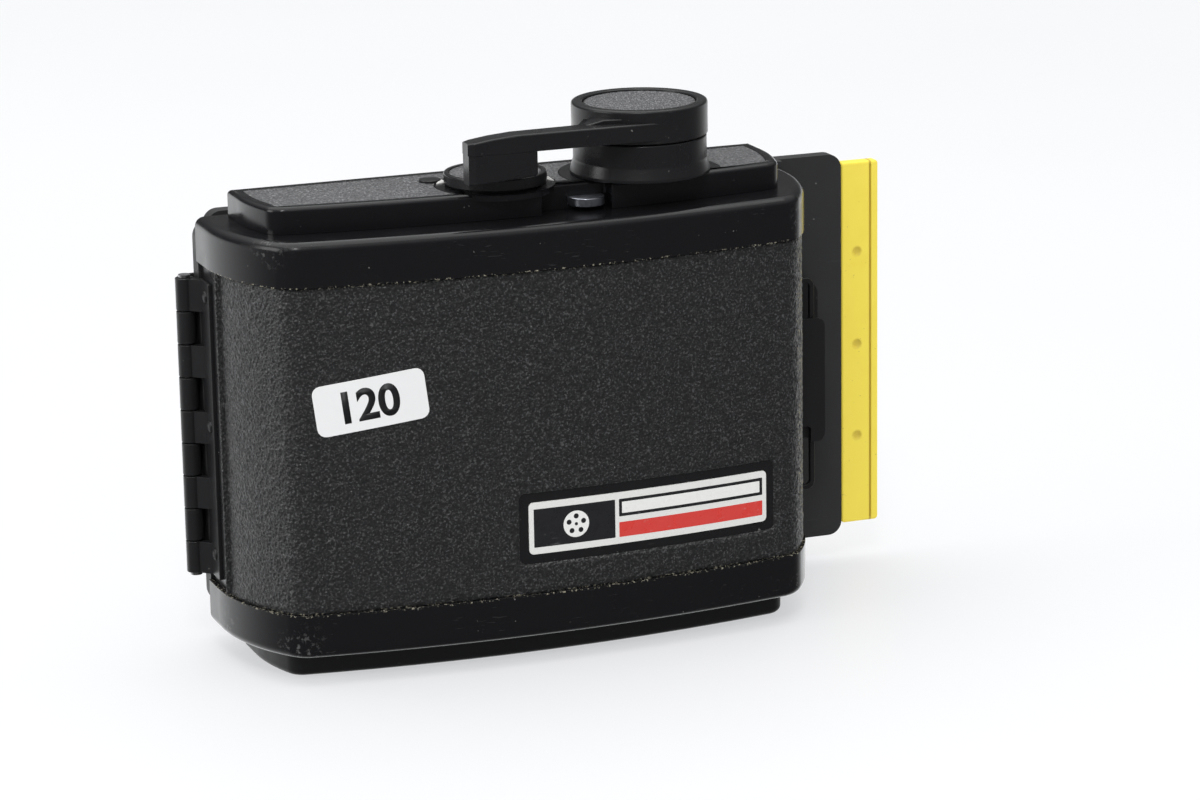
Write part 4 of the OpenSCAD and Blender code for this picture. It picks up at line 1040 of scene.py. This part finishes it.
def index_marks():
    """Two pale triangles beside the dial, and a small black tab that points to its rim."""
    level, tab_top = COVER_HIGH[2], span("index_marks")[1][2]
    tip, base, half_w, mark_h, tab_r = 11.1, 13.5, 2.6, 0.25, 2.6
    shape = Shape()
    for turn in (-4.0, 150.0):
        a = math.radians(turn)
        way = np.array([[math.cos(a), math.sin(a)], [-math.sin(a), math.cos(a)]])
        corners = np.array([[tip, 0], [base, -half_w], [base, half_w]]) @ way + DIAL
        shape.block(movable(soften(corners, 0.15, 3)), edge(level, level + mark_h, 0.0, 0.08, 2))
    piece("index_marks", shape, BADGE_WHITE, "holder", "badge_metal", "index_marks")
    tab = Shape().block(disc(DIAL + [-13.0, 9.0], tab_r, 48), edge(level, tab_top, 0.0, 0.25, 4))
    piece("pointer_tab", tab, LEVER_ENAMEL, "holder", "cast_black")


def hinge_leaf_rivets():
    """Three domed rivets through the case's hinge leaf."""
    low, high = span("leaf_rivets")
    shape = Shape(LEFT)
    base, crown = -high[0], -low[0]
    y, radius = -(low[1] + high[1]) / 2, (high[1] - low[1]) / 2
    t = np.linspace(0, math.pi / 2, 8)
    skirt = base + 0.05
    dome = np.column_stack([radius * np.cos(t), skirt + (crown - skirt) * np.sin(t)])
    for step in (-RIVET_STEP, 0.0, RIVET_STEP):
        shape.turned([y, MID_Z + step], [(0, base), (radius, base), *dome], 40)
    piece("leaf_rivets", shape, LATCH_ENAMEL, "holder", "hinge_black", "leaf_rivets")


cap("top_cap", CAP_LOW, CAP_HIGH, True)
cap("bottom_cap", FOOT_CAP_LOW, FOOT_CAP_HIGH, False)
leather_wrap()
top_cover()
foot_cover()
winder_boss()
wind_lever()
grip_block()
round_inlay("hub_inlay", "lever", 0.9, 21, 0.1)
round_inlay("dial_inlay", "counter", 0.8, 22, 0.12)
counter_dial()
release_tab()
name_badge()
number_sticker()
slide_handle()
hinge_leaf_rivets()
hinge_leaves()
index_marks()

# ---- CAD nodes that keep their shape ----

KEPT = {
    CASE_ENAMEL: ["tub"],
    LATCH_ENAMEL: ["latch_track", "latch_plate", "keeper_plate"],
    PLATE_ENAMEL: ["door_frame", "gate_frame", "camera_plate"],
    CARRIER: ["film_carrier"],
    LIT_INLAY_LEATHER: ["top_inlays"],
    STEEL: ["hinge_pin", "frame_posts", "mechanism_screws", "gear_studs", "plate_screws",
            "lever_shaft", "pawl_carrier", "drive_pawl", "ratchet_wheel", "takeup_key",
            "roller_shaft", "guide_roller", "supply_pin", "takeup_pin", "pressure_plate",
            "stop_pawl"],
    SPRING: ["return_spring", "supply_spring", "takeup_spring", "pressure_springs"],
    BRASS: ["gear_plate", "winding_gear", "takeup_gear", "dial_gear", "idler_gear"],
    SPOOL: ["takeup_spool"],
    RUBBER: ["metering_roller"],
    SLIDE: ["slide_sheet"],
    FELT: ["light_trap"],
}
SOFT_EDGES = {
    "camera_plate": 0.3, "door_frame": 0.3, "gate_frame": 0.2, "keeper_plate": 0.3,
    "latch_plate": 0.25, "latch_track": 0.2, "film_carrier": 0.15, "slide_sheet": 0.1,
}
for finish, nodes in KEPT.items():
    for node in nodes:
        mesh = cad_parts[node].data
        mesh.materials.clear()
        mesh.materials.append(finish)
for node, width in SOFT_EDGES.items():
    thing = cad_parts[node]
    thing.modifiers.new("weld", "WELD").merge_threshold = 1e-6
    rounding = thing.modifiers.new("soft edges", "BEVEL")
    rounding.width = width * MM
    rounding.segments = 3
    rounding.limit_method = "ANGLE"
    rounding.angle_limit = SHARP_ANGLE
    thing.modifiers.new("even normals", "WEIGHTED_NORMAL")
    thing.data.shade_smooth()

# ---- Studio ----


def studio():
    """A pale floor that sweeps up all round, a soft surround and large soft lamps."""
    sink, flat_r, sweep_r, head = 0.02, 3500, 2500, 4000
    sweep = arc((flat_r, sweep_r - sink), sweep_r, -90, 0, 24)
    profile = np.vstack([[0, -sink], [600, -sink], sweep, [flat_r + sweep_r, head]])
    floor = bpy.data.objects.new("floor", Shape().turned((0, 0), profile, 96).mesh("floor"))
    bpy.context.scene.collection.objects.link(floor)
    pale = Finish("pale floor", (0.34, 0.34, 0.343), 0.5, Specular_IOR_Level=0.2,
                  Emission_Color=(0.97, 0.98, 1.0, 1.0), Emission_Strength=0.55)
    pale.rough(pale.ramp(pale.noise(400.0, 2.0), 0.3, 0.7, 0.45, 0.55))
    floor.data.materials.append(pale.material)
    floor.visible_glossy = False
    world = bpy.data.worlds.new("soft surround")
    world.use_nodes = True
    sky = world.node_tree
    split = sky.nodes.new("ShaderNodeSeparateXYZ")
    sky.links.new(sky.nodes.new("ShaderNodeTexCoord").outputs["Generated"], split.inputs[0])

    total = sky.nodes.new("ShaderNodeMath")
    total.operation = "MULTIPLY_ADD"
    behind = eased(sky, split.outputs["Y"], -0.1, 0.95, 0.0, 1.35)
    below = eased(sky, split.outputs["Z"], -0.02, 0.1, 1.0, 0.0)
    above = eased(sky, split.outputs["Z"], 0.25, 0.8, 0.09, 0.75)
    for value, socket in zip((behind, below, above), total.inputs):
        sky.links.new(value, socket)
    sky.links.new(total.outputs[0], sky.nodes["Background"].inputs["Strength"])
    sky.nodes["Background"].inputs["Color"].default_value = (0.98, 0.99, 1.0, 1)
    bpy.context.scene.world = world
    # Name, place, target, width and power
    lamps = [
        ("overhead", (-0.1, 0.25, 1.9), (0.0, 0.0, 0.05), 2.6, 30.0),
        ("left", (-1.7, 0.0, 0.7), (0.0, 0.0, 0.05), 0.9, 9.0),
        ("front strip", (-0.5, -1.3, 1.5), (0.0, 0.0, 0.08), 0.35, 7.5),
    ]
    for name, place, target, size, power in lamps:
        light = bpy.data.lights.new(name, "AREA")
        light.size = size
        light.energy = power
        lamp = bpy.data.objects.new(name, light)
        lamp.location = place
        aim = Vector(target) - Vector(place)
        lamp.rotation_euler = aim.to_track_quat("-Z", "Y").to_euler()
        bpy.context.scene.collection.objects.link(lamp)


def camera():
    """A long lens, a little above the holder and to the left of its front."""
    yaw, pitch, roll = math.radians(20.604), math.radians(14.568), math.radians(-0.9447)
    ahead = np.array([math.sin(yaw) * math.cos(pitch), math.cos(yaw) * math.cos(pitch),
                      -math.sin(pitch)])
    level = np.array([math.cos(yaw), -math.sin(yaw), 0.0])
    above = np.cross(level, ahead)
    right = math.cos(roll) * level + math.sin(roll) * above
    up = -math.sin(roll) * level + math.cos(roll) * above
    lens = bpy.data.cameras.new("camera")
    lens.lens = 126.59
    lens.sensor_width = 36.0
    eye = bpy.data.objects.new("camera", lens)
    turn = Matrix(np.column_stack([right, up, -ahead]).tolist()).to_4x4()
    eye.matrix_world = Matrix.Translation((-0.32225, -0.90761, 0.30778)) @ turn
    bpy.context.scene.collection.objects.link(eye)
    bpy.context.scene.camera = eye


studio()
camera()
bpy.context.scene.view_settings.view_transform = "Standard"
